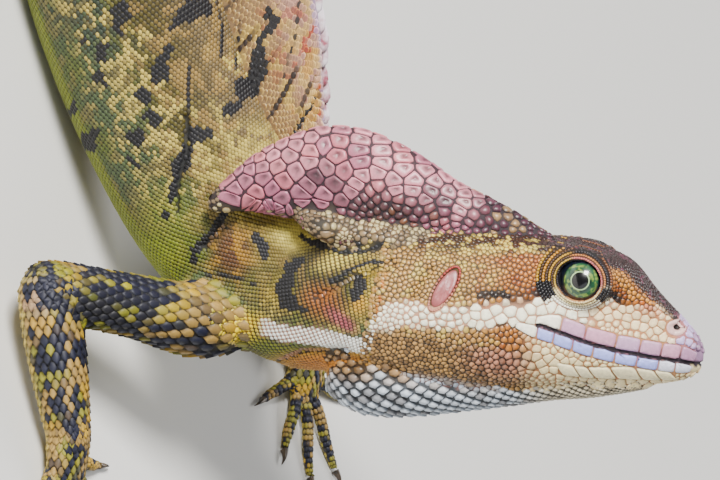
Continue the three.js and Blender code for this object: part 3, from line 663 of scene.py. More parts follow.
# %% Set the camera
PHOTO = (720, 480)
SENSOR = 36.0
VIEW_FROM = np.array([0, -math.cos(math.radians(30)), 0.5])
LEVEL = np.array([0, 0.5, math.cos(math.radians(30))])
ROLL_COS, ROLL_SIN = 0.2588, 0.9659
CAMERA_RIGHT = unit(ROLL_COS * np.array([1.0, 0, 0]) + ROLL_SIN * LEVEL)
CAMERA_UP = unit(-ROLL_SIN * np.array([1.0, 0, 0]) + ROLL_COS * LEVEL)
AIM = np.array([-23.9, 0, 50.4])
DISTANCE = 900.0
HEAD_DEPTH = 40.0
PIXELS_PER_MM = 5.8
FOCAL = PIXELS_PER_MM * (DISTANCE - HEAD_DEPTH)
EYE_POINT = AIM + VIEW_FROM * (DISTANCE - AIM @ VIEW_FROM)

lens = bpy.data.cameras.new("camera")
lens.sensor_width = SENSOR
lens.lens = FOCAL * SENSOR / PHOTO[0]
lens.clip_start = 0.05
lens.clip_end = 20
camera = bpy.data.objects.new("camera", lens)
bpy.context.scene.collection.objects.link(camera)
turned = Matrix(np.column_stack([CAMERA_RIGHT, CAMERA_UP, VIEW_FROM]).tolist()).to_4x4()
camera.matrix_world = Matrix.Translation(Vector((EYE_POINT + SHIFT) * MM)) @ turned
bpy.context.scene.camera = camera
print("a lens of", round(lens.lens), "mm at", DISTANCE, "mm")


def seen_at(p):
    """Where the camera sees points, in pixels of the photograph's frame."""
    away = p - EYE_POINT
    deep = -away @ VIEW_FROM
    return np.stack([PHOTO[0] / 2 + FOCAL * (away @ CAMERA_RIGHT) / deep, PHOTO[1] / 2 - FOCAL * (away @ CAMERA_UP) / deep], axis=1)


# %% [markdown]
# ## Both sides alike
# The far side carries the same markings as the near one. Each point is swung over to its twin
# on the right side, and the twin says what marking it has.

# %% Find the twin on the near side
LINE_T = np.linspace(SKULL_END, TRUNK_END, 240)
line_centre, line_forward, line_up, line_left, line_sizes = trunk_frames(LINE_T)


def near_twin(p):
    """Each point moved to the same place on the animal's right side, and its trunk station."""
    h = to_head(p)
    mirrored = in_head(np.stack([h[:, 0], -np.abs(h[:, 1]), h[:, 2]], axis=1))
    away = np.linalg.norm(p[:, None, ::2] - line_centre[None, ::6, ::2], axis=2)
    k = np.argmin(away, axis=1) * 6
    aside = np.sum((p - line_centre[k]) * line_left[k], axis=1)
    swung = p - 2 * np.maximum(aside, 0)[:, None] * line_left[k]
    use_head = smooth((h[:, 0] + 12) / 4)[:, None]
    return lerp(swung, mirrored, use_head), LINE_T[k]


def beside(pixels, line):
    """Distance in pixels to a line through the given points."""
    best = np.full(len(pixels), 1e9)
    line = np.asarray(line, float)
    for a, b in zip(line[:-1], line[1:]):
        t = np.clip((pixels - a) @ (b - a) / ((b - a) @ (b - a)), 0, 1)
        best = np.minimum(best, np.linalg.norm(pixels - a - t[:, None] * (b - a), axis=1))
    return best


def inside(pixels, centre, radii, turn=0):
    """Distance from the middle of an ellipse, 1 on its rim; turn is anticlockwise as seen."""
    c, s = math.cos(math.radians(turn)), math.sin(math.radians(turn))
    x, y = (pixels - np.array(centre)).T
    return np.hypot((x * c - y * s) / radii[0], (x * s + y * c) / radii[1])


# %% Sink the mouth, ears, eye openings and skin folds
MOUTH = np.array([[18.4, -0.3], [20.5, -0.5], [24, -1.2], [28, -1.9], [33, -2.3], [39, -2.4], [43, -2.3], [47.4, -2.5]])
EAR = {"at": [1.8, 12.6, 2.4], "radii": [1.45, 3.7], "lean": 20}
OPENING = (3.75, 3.4)
OPENING_AT = EYE_AT + [-0.8, 0, 0.25]
FOLDS = [
    (0.9, 5, [(392, 262), (352, 276), (318, 296)]),
    (0.8, 4, [(430, 268), (418, 284), (408, 306)]),
    (0.9, 5, [(205, 246), (214, 236), (222, 226)]),
    (0.7, 4, [(186, 118), (187, 150), (178, 182), (176, 210)]),
    (0.8, 5, [(345, 352), (300, 352), (262, 372), (246, 382)]),
    (0.6, 4, [(330, 360), (322, 384)]),
]


def mouth_height(x):
    return np.interp(x, MOUTH[:, 0], MOUTH[:, 1])


def ear_place(h):
    """Distance from the ear's middle in its own ellipse, 1 on the rim."""
    lean = math.radians(EAR["lean"])
    x = h[:, 0] - EAR["at"][0]
    z = h[:, 2] - EAR["at"][2]
    along = x * math.sin(lean) + z * math.cos(lean)
    across = x * math.cos(lean) - z * math.sin(lean)
    place = np.hypot(across / EAR["radii"][0], along / EAR["radii"][1])
    return np.where(np.abs(h[:, 1]) > 8, place, 9)


def eye_place(h):
    """Distance from the eye's middle in the lids' opening, 1 on its rim."""
    place = np.hypot((h[:, 0] - OPENING_AT[0]) / OPENING[0], (h[:, 2] - OPENING_AT[2]) / OPENING[1])
    return np.where(np.abs(h[:, 1]) > 6, place, 9)


h = to_head(points)
side = np.sign(h[:, 1])
groove = np.exp(-(((h[:, 2] - mouth_height(h[:, 0])) / 0.22) ** 2)) * (h[:, 0] > 18.4)
points -= normals * (0.55 * groove)[:, None]
points -= normals * (0.55 * smooth((1.15 - ear_place(h)) / 0.3))[:, None]
nostril = np.linalg.norm((h - np.array([41.6, 0, 3.2]))[:, ::2], axis=1)
points -= normals * (1.0 * smooth((1.4 - nostril) / 0.6) * (np.abs(h[:, 1]) > 1.5))[:, None]
twin, _ = near_twin(points)
pixels = seen_at(twin)
flank = smooth((np.abs(normals[:, 1]) - 0.15) / 0.3)
for deep, wide, line in FOLDS:
    points -= normals * (deep * flank * np.exp(-((beside(pixels, line) / wide) ** 2)))[:, None]
inner = smooth((1.06 - eye_place(h)) / 0.12)
h = to_head(points)
h[:, 1] = lerp(h[:, 1], side * 7.6, inner)
points = np.where((inner > 0)[:, None], in_head(h), points)
points[:, 2] = np.maximum(points[:, 2], FLOOR + 0.02)
normals = outward(points, faces)
skin_tree = BVHTree.FromPolygons(points.tolist(), faces.tolist())
print("the skin spans", np.round(np.ptp(points, axis=0), 1), "mm")


def settle(p, reach=0.9):
    """Points moved onto the skin, the skin's normals there, and which ones were near it."""
    found = [skin_tree.find_nearest(q) for q in p.tolist()]
    place = np.array([f[0] for f in found])
    corner = faces[[f[2] for f in found]]
    lean = unit(normals[corner].sum(axis=1))
    return place, lean, np.linalg.norm(place - p, axis=1) < reach


# %% [markdown]
# ## Which form is which
# The head has plates of its own kinds, so each place on the skin is first told apart as head,
# lids, crest, pouch, pad or trunk, by the nearest of the forms that made the skin.

# %% Tell the forms of the head apart
# 0 head, 1 lids, 2 crest, 3 pouch, 4 trunk, 5 the pads under the crest, 6 where the pads run
# into the nape, 9 far from the head
grounds = [(0, head), (2, casque), (3, pouch), (4, trunk[:80]), (5, pads[0]), (5, pads[1])]
for side in (-1, 1):
    grounds.append((1, ball(EYE_AT * [1, side, 1], LID_RADII)))
ground_tree = tree_of(np.vstack([g.reshape(-1, 3) for _, g in grounds]))
ground_kind = np.concatenate([np.full(g.shape[0] * g.shape[1], kind) for kind, g in grounds])
NAPE = -10.3


def kind_at(p):
    kind = np.full(len(p), 9)
    close = np.where((p[:, 2] > 28) & (p[:, 0] > -52))[0]
    kind[close] = ground_kind[[ground_tree.find(q)[1] for q in p[close].tolist()]]
    return kind


def behind_head(p):
    """Whether places lie on the neck, trunk or limbs rather than on the head, crest or pouch."""
    kind = kind_at(p)
    return (kind == 4) | (kind == 9) | ((kind < 2) & (to_head(p)[:, 0] < NAPE))


middle = points[faces].mean(axis=1)
kind_of_face = kind_at(middle)
# Where the pads run into the nape, the skin stands too far off the neck for its rows of scales
NAPE_FILLET = 1.0
on_neck = np.where(kind_of_face == 4)[0]
off_neck = np.array([neck_tree.find_nearest(Vector(p))[3] for p in middle[on_neck].tolist()])
kind_of_face[on_neck[off_neck > NAPE_FILLET]] = 6
of_head = ((kind_of_face < 2) & (to_head(middle)[:, 0] > NAPE)) | np.isin(kind_of_face, (2, 5, 6))
print("faces round the head:", int(of_head.sum()))

# %% [markdown]
# ## How a scale is made
# A scale is a little shield: a sunk rim, a raised shoulder and a crown that leans to the rear
# where the scale is keeled. All scales of a region are one mesh, built as arrays of numbers,
# since tens of thousands of them would be too slow one by one. Their rims are darker than their
# crowns, which draws the seams between them, and most crowns are brighter than the scale's tone,
# a painted highlight.

# %% A builder for many scales
DOME = ((0.8, 0.85, 0.82),)
SHIELD = ((0.92, 0.66, 0.9), (0.62, 0.95, 1.0))
# A pitted plate is painted darker towards its sunk pit, as shade in it
PITTED = ((0.92, 0.7, 1.35), (0.74, 1.0, 1.15), (0.4, 0.9, 0.75), (0.18, 0.55, 0.4))


class Coat:
    """Gathers scales and makes them one piece."""

    def __init__(self):
        self.parts = []

    def add(self, root, normal, lie, edge, height, tone, seam, unwrap,
            keel=0.0, profile=DOME, heart=1.15, slide=UP * 0):
        """edge is scales by corners by 3, from each root to its rim. A profile's rings say how far
        they shrink, rise and brighten; heart is the brightness of the crown, which by default is
        brighter than the tone as a painted highlight, and slide is how far the crown stands off the
        middle, as a share of the scale's reach."""
        count, corners = edge.shape[:2]
        across = np.cross(normal, lie)
        along = np.sum(edge * lie[:, None], axis=2)
        reach = np.maximum(np.abs(along).max(axis=1), 1e-6)
        rear = (along / reach[:, None])[:, :, None]
        up = normal[:, None]
        aside = reach[:, None] * (slide - (normal @ slide)[:, None] * normal)
        sunk = np.minimum(0.12, 0.5 * height)[:, None, None]
        rings = [root[:, None] + edge - sunk * up]
        shades = [np.repeat(seam[:, None], corners, 1)]
        flats = [1.0]
        for shrink, rise, bright in profile:
            lift = height[:, None, None] * rise * (1 + keel * 0.55 * rear)
            rings.append((root + (1 - shrink) * aside)[:, None] + edge * shrink + lift * up)
            shades.append(np.repeat(np.minimum(tone * bright, 1)[:, None], corners, 1))
            flats.append(shrink)
        crown = height * (1 + 0.25 * keel) * (1.0 if len(profile) < 4 else 0.3)
        top = root + aside + crown[:, None] * normal + (keel * 0.25 * reach)[:, None] * lie
        points = np.concatenate(rings + [top[:, None]], axis=1)
        shade = np.concatenate(shades + [np.minimum(tone * heart, 1)[:, None]], axis=1)
        j = np.arange(corners)
        k = (j + 1) % corners
        pattern = []
        for ring in range(len(profile)):
            low, high = ring * corners, (ring + 1) * corners
            pattern += [np.stack([low + j, low + k, high + j], 1), np.stack([low + k, high + k, high + j], 1)]
        high = len(profile) * corners
        pattern.append(np.stack([high + j, high + k, np.full(corners, high + corners)], 1))
        spread = np.stack([along, np.sum(edge * across[:, None], axis=2)], axis=2)
        spread /= np.abs(spread).max(axis=(1, 2))[:, None, None] + 1e-9
        flat = np.concatenate([spread * f for f in flats] + [np.zeros((count, 1, 2))], axis=1)
        self.parts.append((points, np.vstack(pattern), shade, unwrap[:, None] + flat * 0.0015))

    def piece(self, name, material, slot, limit=190000):
        """Makes the gathered scales into pieces of at most limit triangles each."""
        total = sum(len(p) * len(f) for p, f, _, _ in self.parts)
        pieces = math.ceil(total / limit)
        made = []
        for part in range(pieces):
            points, faces, shade, unwrap = [], [], [], []
            start = 0
            for p, f, s, u in self.parts:
                low, high = (len(p) * k // pieces for k in (part, part + 1))
                block = p[low:high]
                step = block.shape[1]
                offsets = (np.arange(len(block)) * step + start)[:, None, None]
                faces.append((offsets + f[None]).reshape(-1, 3))
                points.append(block.reshape(-1, 3))
                shade.append(s[low:high].reshape(-1, 3))
                unwrap.append(u[low:high].reshape(-1, 2))
                start += len(block) * step
            points = np.vstack(points)
            points[:, 2] = np.maximum(points[:, 2], FLOOR + 0.01)
            faces = np.vstack(faces)
            piece_name = name if pieces == 1 else f"{name}_{part + 1}"
            coat = mesh_object(piece_name, points, faces, tidy=False)
            finish_piece(coat, material, np.vstack(shade), np.vstack(unwrap)[faces.ravel()])
            made.append(coat)
            print(piece_name, "has", len(faces), "triangles")
        return made


def finish_piece(made, material, shade=None, unwrap=None, smooth_faces=True):
    """Gives a piece its colours, its unwrap, its material and its place in the frame."""
    mesh = made.data
    if shade is not None:
        layer = mesh.color_attributes.new("Tone", "FLOAT_COLOR", "POINT")
        layer.data.foreach_set("color", np.column_stack([shade, np.ones(len(shade))]).astype(np.float32).ravel())
    if unwrap is not None:
        layer = mesh.uv_layers.new(name="OFBake")
        layer.data.foreach_set("uv", np.clip(unwrap, 0.002, 0.998).astype(np.float32).ravel())
    mesh.polygons.foreach_set("use_smooth", np.full(len(mesh.polygons), smooth_faces))
    mesh.materials.clear()
    mesh.materials.append(material)
    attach(made, "root")
    return made


# %% [markdown]
# ## Colours and materials
# Lizard scales are keratin: a thin clear horn over coloured skin, so they have a soft gloss and
# their colour sits in the surface. The colour of each scale is worked out by rules in this
# script and kept as a colour attribute, which the material reads and breaks up with fine noise.

# %% Colour tools
def linear(code):
    values = np.array([int(code[k : k + 2], 16) for k in (1, 3, 5)]) / 255
    return np.where(values <= 0.04045, values / 12.92, ((values + 0.055) / 1.055) ** 2.4)


def pigment(code):
    """A colour made a little deeper and stronger, since studio light pales it."""
    value = linear(code) ** 1.34
    grey = value.mean()
    return np.clip(grey + (value - grey) * 1.26, 0.001, 1)


def node(tree, kind, settings=None, **links):
    """Adds a shader node, sets its properties and values, and links the sockets named."""
    made = tree.nodes.new(kind)
    for key, value in (settings or {}).items():
        if hasattr(made, key):
            setattr(made, key, value)
        else:
            made.inputs[key].default_value = value
    for key, source in links.items():
        tree.links.new(source, made.inputs[key.replace("_", " ")])
    return made


def scaly_keratin(name, roughness, gloss, grain_mm, grain_depth, mottle=0.25):
    """Horny scales: colour from the attribute, fine noise in tone and relief."""
    material = bpy.data.materials.new(name)
    material.use_nodes = True
    tree = material.node_tree
    shader = tree.nodes["Principled BSDF"]
    shader.inputs["Roughness"].default_value = roughness
    shader.inputs["IOR"].default_value = 1.54
    shader.inputs["Coat Weight"].default_value = gloss
    shader.inputs["Coat Roughness"].default_value = 0.25
    tone = node(tree, "ShaderNodeVertexColor", {"layer_name": "Tone"})
    place = node(tree, "ShaderNodeTexCoord")
    grain = node(tree, "ShaderNodeTexNoise", {"Scale": 1 / (grain_mm * MM), "Detail": 4.0}, Vector=place.outputs["Object"])
    spread = node(tree, "ShaderNodeMapRange", {"To Min": 1 - mottle, "To Max": 1 + mottle}, Value=grain.outputs["Fac"])
    mixed = node(tree, "ShaderNodeVectorMath", {"operation": "SCALE"}, Vector=tone.outputs["Color"], Scale=spread.outputs["Result"])
    tree.links.new(mixed.outputs["Vector"], shader.inputs["Base Color"])
    relief = node(tree, "ShaderNodeBump", {"Strength": 0.5, "Distance": grain_depth * MM}, Height=grain.outputs["Fac"])
    tree.links.new(relief.outputs["Normal"], shader.inputs["Normal"])
    return material


SCALE_HORN = scaly_keratin("keratin_scales", 0.6, 0.0, 0.5, 0.05)
PLATE_HORN = scaly_keratin("smooth_keratin_plates", 0.42, 0.12, 0.6, 0.06, 0.3)
SOFT_SKIN = scaly_keratin("bare_skin_between_scales", 0.75, 0.0, 0.35, 0.08)

INK = linear("#0a0810")
PLUM = pigment("#3a2436")
BROWN = pigment("#5b432c")
UMBER = pigment("#3f2f24")
OLIVE = pigment("#6f6a2c")
MOSS = pigment("#78863a")
LIME = pigment("#a3ad2c")
SEA = pigment("#5f7b68")
GOLD = pigment("#c2a04c")
STRAW = pigment("#d8c98a")
YELLOW = pigment("#dcc830")
BEIGE = pigment("#b3a287")
TAN = pigment("#b3895a")
AMBER = pigment("#cf8c42")
ORANGE = pigment("#bd6226")
RUST = pigment("#8e4a28")
CREAM = pigment("#f2e8c4")
CHALK = pigment("#f8f6ea")
ICE = pigment("#c9d6ea")
SKY = pigment("#b7bdf0")
LILAC = pigment("#cdbfdc")
PINK = pigment("#d6a6ac")
MAUVE = pigment("#9c6e80")
ROSE = pigment("#b4625e")


def paint(tone, colour, amount):
    return tone + (colour - tone) * np.clip(amount, 0, 1)[:, None]


# %% Markings of the trunk and neck, with painted shade in skin folds, a painted shadow under the pads and a painted highlight on the neck
# Each blotch has a middle, two radii and a turn, in pixels of the photograph's frame
BLOTCHES = [
    ((160, 66), (7, 20), -8),
    ((166, 48), (12, 5), 10),
    ((146, 96), (9, 9), 0),
    ((150, 120), (7, 5), 40),
    ((134, 137), (8, 7), 0),
    ((131, 160), (6, 4), 0),
    ((199, 133), (11, 10), 30),
    ((186, 160), (8, 20), -22),
    ((177, 188), (5, 14), -10),
    ((246, 86), (11, 16), -35),
    ((256, 66), (8, 32), -8),
    ((266, 26), (6, 24), -16),
    ((228, 106), (10, 7), 40),
    ((192, 12), (17, 10), 35),
    ((177, 26), (9, 6), 35),
    ((120, 14), (7, 14), -30),
    ((104, 56), (9, 10), -40),
    ((80, 40), (7, 5), 0),
    ((118, 34), (7, 6), 0),
    ((98, 78), (7, 6), 20),
    ((72, 110), (5, 14), -20),
    ((90, 140), (7, 18), -25),
    ((169, 216), (4, 7), 0),
    ((193, 254), (6, 8), 10),
    ((285, 286), (8, 12), -20),
    ((291, 270), (7, 9), 20),
    ((300, 262), (6, 5), 0),
    ((288, 303), (9, 7), 30),
    ((300, 310), (6, 4), -20),
    ((359, 287), (7, 10), 15),
    # Painted shadow: this spot lies in the shade under the pad below the head crest
    ((320, 243), (10, 5), -15),
    ((262, 247), (6, 15), 12),
    ((207, 340), (5, 4), 0),
    ((205, 316), (6, 5), 0),
]
LIP_STRIPE = [
    (262, 328), (285, 334), (318, 337), (345, 343), (362, 345), (376, 340), (384, 324), (394, 314),
    (412, 314), (430, 318), (490, 315), (560, 309), (610, 312), (650, 326),
]
# Each dark line has half its width and the points that it runs through
MARK_AND_SHADE_LINES = [
    # The next three lines are painted shade in skin folds that are also sunk into the skin; the third lies under the
    # rear tip of the head crest
    (3.0, [(400, 262), (372, 262), (352, 270), (330, 282)]),
    (2.2, [(428, 268), (418, 284), (408, 306)]),
    (4.5, [(226, 212), (214, 230), (197, 250)]),
    (2.2, [(190, 64), (189, 100), (186, 130), (180, 165)]),
    (1.6, [(240, 6), (238, 40), (234, 78)]),
    (1.8, [(216, 2), (222, 30), (222, 60)]),
    (2.6, [(324, 84), (316, 98), (306, 112), (294, 134)]),
    (1.6, [(300, 2), (294, 40), (282, 78)]),
    (2.4, [(404, 286), (398, 306), (393, 318)]),
    (1.8, [(205, 275), (232, 276), (262, 288)]),
    # Painted shadow: this line runs along the shade under the pad below the head crest
    (3.2, [(302, 236), (318, 246), (345, 253), (372, 250), (388, 240)]),
]


def marks_and_painted_shade(p, pixels):
    """Where the black blotches and lines are, from 0 to 1, some of them painted shade in skin folds and a painted
    shadow under the pads; their edges wander between scales.
    """
    drift = (np.stack([noise(p, 2.4, 3), noise(p, 2.4, 4)], axis=1) - 0.5) * 13
    dark = np.zeros(len(p))
    for centre, radii, turn in BLOTCHES:
        dark = np.maximum(dark, (inside(pixels + drift, centre, radii, turn) < 1.0) * 1.0)
    for width, line in MARK_AND_SHADE_LINES:
        dark = np.maximum(dark, smooth((width - beside(pixels + drift * 0.25, line)) / 1.5))
    return dark


def patch(pixels, centre, radii, turn=0):
    """A soft-edged spot, 1 in its middle and 0 outside."""
    return smooth(1.25 - inside(pixels, centre, radii, turn))


def body_tone(p, normal, down):
    """Colours of trunk and neck scales; down is 0 on the back and 1 under the belly."""
    twin, t = near_twin(p)
    pixels = seen_at(twin)
    fine = noise(p, 1.6, 1)
    lumps = noise(p, 7, 2)
    grain = noise(p, 0.9, 8)
    drift = (np.stack([noise(p, 3, 3), noise(p, 3, 4)], axis=1) - 0.5) * 9
    tone = np.repeat(lerp(OLIVE, BROWN, 0.35)[None], len(p), 0)
    tone = paint(tone, MOSS, smooth((down - 0.3) / 0.3) * 0.7)
    sea = smooth((down - 0.36) / 0.18) * smooth((0.78 - down) / 0.1)
    tone = paint(tone, lerp(SEA, BROWN, 0.35), sea * smooth((lumps - 0.25) / 0.3) * 0.7)
    tone = paint(tone, lerp(BEIGE, BROWN, 0.5), smooth((0.32 - down) / 0.2) * 0.6)
    dull_gold = lerp(lerp(GOLD, BEIGE, 0.5), OLIVE, 0.3)
    tone = paint(tone, dull_gold, smooth((fine - 0.42) / 0.2) * (0.3 + 0.5 * smooth((0.6 - down) / 0.4)))
    cream = smooth((grain - 0.52) / 0.1) * smooth((lumps - 0.3) / 0.25)
    tone = paint(tone, STRAW, cream * smooth((0.7 - down) / 0.15) * 0.8)
    speckle = smooth((0.45 - grain) / 0.08) * smooth((lumps - 0.42) / 0.2)
    speckle *= smooth((90 - pixels[:, 1]) / 60) * smooth((170 - pixels[:, 0]) / 60)
    tone = paint(tone, lerp(INK, SEA, 0.25), speckle * 0.8)
    tone = paint(tone, lerp(LIME, OLIVE, 0.25), smooth((down - 0.70) / 0.04) * 0.95)
    tone = paint(tone, STRAW, smooth((down - 0.88) / 0.08) * 0.6)
    neck = smooth((3.3 - t) / 0.8) * smooth((0.62 - down) / 0.1)
    tone = paint(tone, lerp(GOLD, LIME, 0.3), neck * 0.55 * smooth((lumps - 0.25) / 0.3))
    pale = patch(pixels, (252, 150), (60, 34), 20) * smooth((grain - 0.25) / 0.2)
    tone = paint(tone, lerp(STRAW, OLIVE, 0.3), pale * 0.7)
    tone = tone * lerp(0.85, 0.72, smooth((3.6 - t) / 1.0))[:, None]
    tone = paint(tone, lerp(LIME, OLIVE, 0.4), patch(pixels, (165, 222), (34, 42)) * 0.6)
    tone = paint(tone, lerp(OLIVE, UMBER, 0.5), patch(pixels, (278, 252), (52, 36)) * 0.45)
    tone = paint(tone, YELLOW, patch(pixels, (238, 326), (34, 20)))
    tone = paint(tone, lerp(LIME, YELLOW, 0.4), patch(pixels, (186, 322), (40, 30)) * 0.9)
    tone = paint(tone, LIME, patch(pixels, (150, 262), (46, 30)) * 0.7)
    nape = patch(pixels, (232, 252), (26, 36))
    tone = paint(tone, lerp(BROWN, RUST, 0.3), nape * 0.8)
    tone = paint(tone, GOLD, nape * smooth((fine - 0.5) / 0.1) * 0.5)
    tone = paint(tone, lerp(BROWN, AMBER, 0.4), patch(pixels, (322, 302), (28, 22), -20) * 0.85)
    tone = paint(tone, lerp(ROSE, MAUVE, 0.5), patch(pixels, (341, 320), (22, 9), -38) * 0.9)
    tone = paint(tone, lerp(AMBER, RUST, 0.3), patch(pixels, (385, 296), (12, 34), -12) * 0.8)
    tone = paint(tone, GOLD, patch(pixels, (359, 304), (10, 12)) * 0.9)
    # The first patch is a painted highlight on the bulge of the neck beside the pad; the second is a pale yellow-green
    # patch of the skin's own colour
    light = patch(pixels, (296, 236), (26, 17), -10) + patch(pixels, (342, 258), (34, 10), 22)
    tone = paint(tone, lerp(STRAW, LIME, 0.2), light * 0.9)
    tone = paint(tone, lerp(AMBER, TAN, 0.4), patch(pixels, (330, 362), (70, 15)) * 0.8)
    armpit = patch(pixels, (250, 356), (18, 22)) * smooth((fine - 0.4) / 0.1)
    tone = paint(tone, BROWN, armpit * 0.6)
    shown = smooth((0.9 - down) / 0.1)
    white = smooth((9 - beside(pixels + drift * 0.4, LIP_STRIPE)) / 2) * shown
    tone = paint(tone, lerp(CHALK, ICE, 0.2), white * smooth((pixels[:, 0] - 256) / 12))
    dark = marks_and_painted_shade(p, pixels)
    bars = smooth((np.sin(p[:, 0] / 6.5 + 3 * lumps) + noise(p, 6, 9) - 1.05) / 0.25)
    dark = np.maximum(dark, bars * smooth((-82 - p[:, 0]) / 12) * smooth((0.72 - down) / 0.1))
    return paint(tone, INK, dark * shown), dark


# %% Markings of the tail and limbs, with painted shade on the upper arms
def tail_tone(p, down):
    fine = noise(p, 1.8, 11)
    lumps = noise(p, 9, 12)
    tone = np.repeat(lerp(OLIVE, TAN, 0.35)[None], len(p), 0)
    tone = paint(tone, GOLD, smooth((fine - 0.45) / 0.2) * 0.5)
    rings = smooth((np.sin(p[:, 0] / 5.6 + 2.2 * lumps) - 0.1) / 0.5)
    tone = paint(tone, UMBER, rings * smooth((0.8 - down) / 0.2) * 0.9)
    tone = paint(tone, STRAW, smooth((down - 0.75) / 0.15) * 0.7)
    return tone


def py_below(pixels):
    """How far below the upper edge of the near arm places are seen, 1 at its lower edge."""
    return (pixels[:, 1] - np.interp(pixels[:, 0], [60, 220], [268, 300])) / 60


def limb_tone(p, normal, along):
    """Golden limbs broken by uneven blue-black patches, with painted shade towards the lower edge of the upper arm."""
    pixels = seen_at(near_twin(p)[0])
    fine = noise(p, 1.1, 21)
    lumps = noise(p, 5.0, 22)
    tone = np.repeat(lerp(lerp(GOLD, BEIGE, 0.5), OLIVE, 0.3)[None], len(p), 0)
    tone = paint(tone, lerp(GOLD, YELLOW, 0.3) * 0.85, smooth((noise(p, 2.2, 23) - 0.55) / 0.1) * 0.8)
    tone = paint(tone, lerp(LIME, OLIVE, 0.55), smooth((noise(p, 3, 24) - 0.52) / 0.15) * 0.75)
    tone = paint(tone, lerp(BEIGE, PINK, 0.35), patch(pixels, (38, 298), (24, 26)) * 0.7)
    upper_arm = patch(pixels, (122, 298), (72, 36))
    tone = paint(tone, lerp(LIME, OLIVE, 0.3), upper_arm * 0.7)
    wave = 0.15 * np.sin(along / 1.7) + 0.9 * (lumps - 0.5) + 1.6 * (fine - 0.5) + 0.22 * upper_arm
    tone = paint(tone, lerp(INK, pigment("#2c3250"), 0.5), smooth(wave / 0.14))
    # Painted shade: the upper arm is darkened towards its lower edge as seen
    tone = paint(tone, lerp(INK, OLIVE, 0.2), upper_arm * smooth((py_below(pixels) - 0.1) / 0.5) * 0.45)
    tone = paint(tone, STRAW, smooth((-normal[:, 2] - 0.3) / 0.4) * 0.7)
    return tone


# %% [markdown]
# ## Rows of scales on trunk, tail and limbs
# The trunk's scales stand in slanting rows, each set in the gap between two of the row before,
# and shrink towards the neck because every ring has the same number of them.

# %% Lay rows of scales over a tube
HEXAGON = np.array([[math.cos(a), math.sin(a)] for a in np.radians([0, 60, 120, 180, 240, 300])])
POINTED = np.array([[1.0, 0], [0.1, 0.95], [-0.8, 0.5], [-0.8, -0.5], [0.1, -0.95]])


def tangent(direction, normal):
    return unit(direction - np.sum(direction * normal, axis=1, keepdims=True) * normal)


def spread_out(rim, normal, lie):
    """Turns outlines given along and across the lie into offsets in space."""
    return rim[:, :, :1] * lie[:, None] + rim[:, :, 1:] * np.cross(normal, lie)[:, None]


def rim_of(wide, long, corners=HEXAGON, jitter=1):
    """Outlines of scales by their width and length."""
    return corners[None] * np.stack([long, wide], axis=1)[:, None] / 2 * jitter


def grid_at(grid, row, column):
    """Points on a grid of rings at fractional rows and columns; columns run round."""
    rings, sides = grid.shape[:2]
    i = np.clip(np.floor(row).astype(int), 0, rings - 2)
    j = np.floor(column).astype(int)
    f, g = (row - i)[:, None], (column - j)[:, None]
    a, b = grid[i, j % sides], grid[i, (j + 1) % sides]
    c, d = grid[i + 1, j % sides], grid[i + 1, (j + 1) % sides]
    return lerp(lerp(a, b, g), lerp(c, d, g), f)


def even_round(grid):
    """The same grid with the points of each ring evenly spaced."""
    rings = []
    for ring in grid:
        line = np.vstack([ring, ring[:1]])
        run = np.concatenate([[0], np.cumsum(np.linalg.norm(np.diff(line, axis=0), axis=1))])
        at = np.linspace(0, run[-1], len(ring), endpoint=False)
        rings.append(np.stack([np.interp(at, run, line[:, k]) for k in range(3)], axis=1))
    return np.array(rings)


def rows_on(grid, around, slant=0.0, stretch=0.9, first=0.0, last=1.0):
    """Roots of scales in staggered rows: points, directions to the rear, sizes and places."""
    grid = even_round(grid)
    rings, sides = grid.shape[:2]
    girth = np.linalg.norm(grid - np.roll(grid, 1, axis=1), axis=2).sum(axis=1)
    middle = grid.mean(axis=1)
    run = np.concatenate([[0], np.cumsum(np.linalg.norm(np.diff(middle, axis=0), axis=1))])
    spare = abs(slant) * girth.max() / 4
    s = run[-1] * first - spare
    stations = []
    while s < run[-1] * last + spare:
        stations.append(s)
        s += stretch * np.interp(s, run, girth) / around
    row, column = np.meshgrid(np.arange(len(stations)), np.arange(around), indexing="ij")
    share = ((column + 0.5 * (row % 2) + 0.25) % around) / around
    down = 1 - np.abs(1 - 2 * share)
    here = np.array(stations)[row]
    size = np.interp(here, run, girth) / around
    offset = slant * (0.5 - down) * np.interp(here, run, girth) / 2
    place = np.interp(np.clip(here + offset, run[0], run[-1]), run, np.arange(rings))
    keep = ((here + offset >= run[0]) & (here + offset <= run[-1])).ravel()
    place, share, down, size, here = (v.ravel()[keep] for v in (place, share, down, size, here))
    root = grid_at(grid, place, share * sides)
    rear = grid_at(grid, np.minimum(place + 0.6, rings - 1), share * sides) - grid_at(grid, np.maximum(place - 0.6, 0), share * sides)
    toward_back = np.where(share < 0.5, -1, 1)[:, None] * (
        grid_at(grid, place, share * sides + 0.6) - grid_at(grid, place, share * sides - 0.6)
    )
    lie = unit(unit(rear) + slant * 0.6 * unit(toward_back))
    unwrap = np.stack([0.02 + 0.96 * place / (rings - 1), 0.02 + 0.96 * share], axis=1)
    return {"root": root, "lie": lie, "size": size, "down": down, "along": here, "unwrap": unwrap}


rng = np.random.default_rng(7)
all_roots, all_tones = [], []


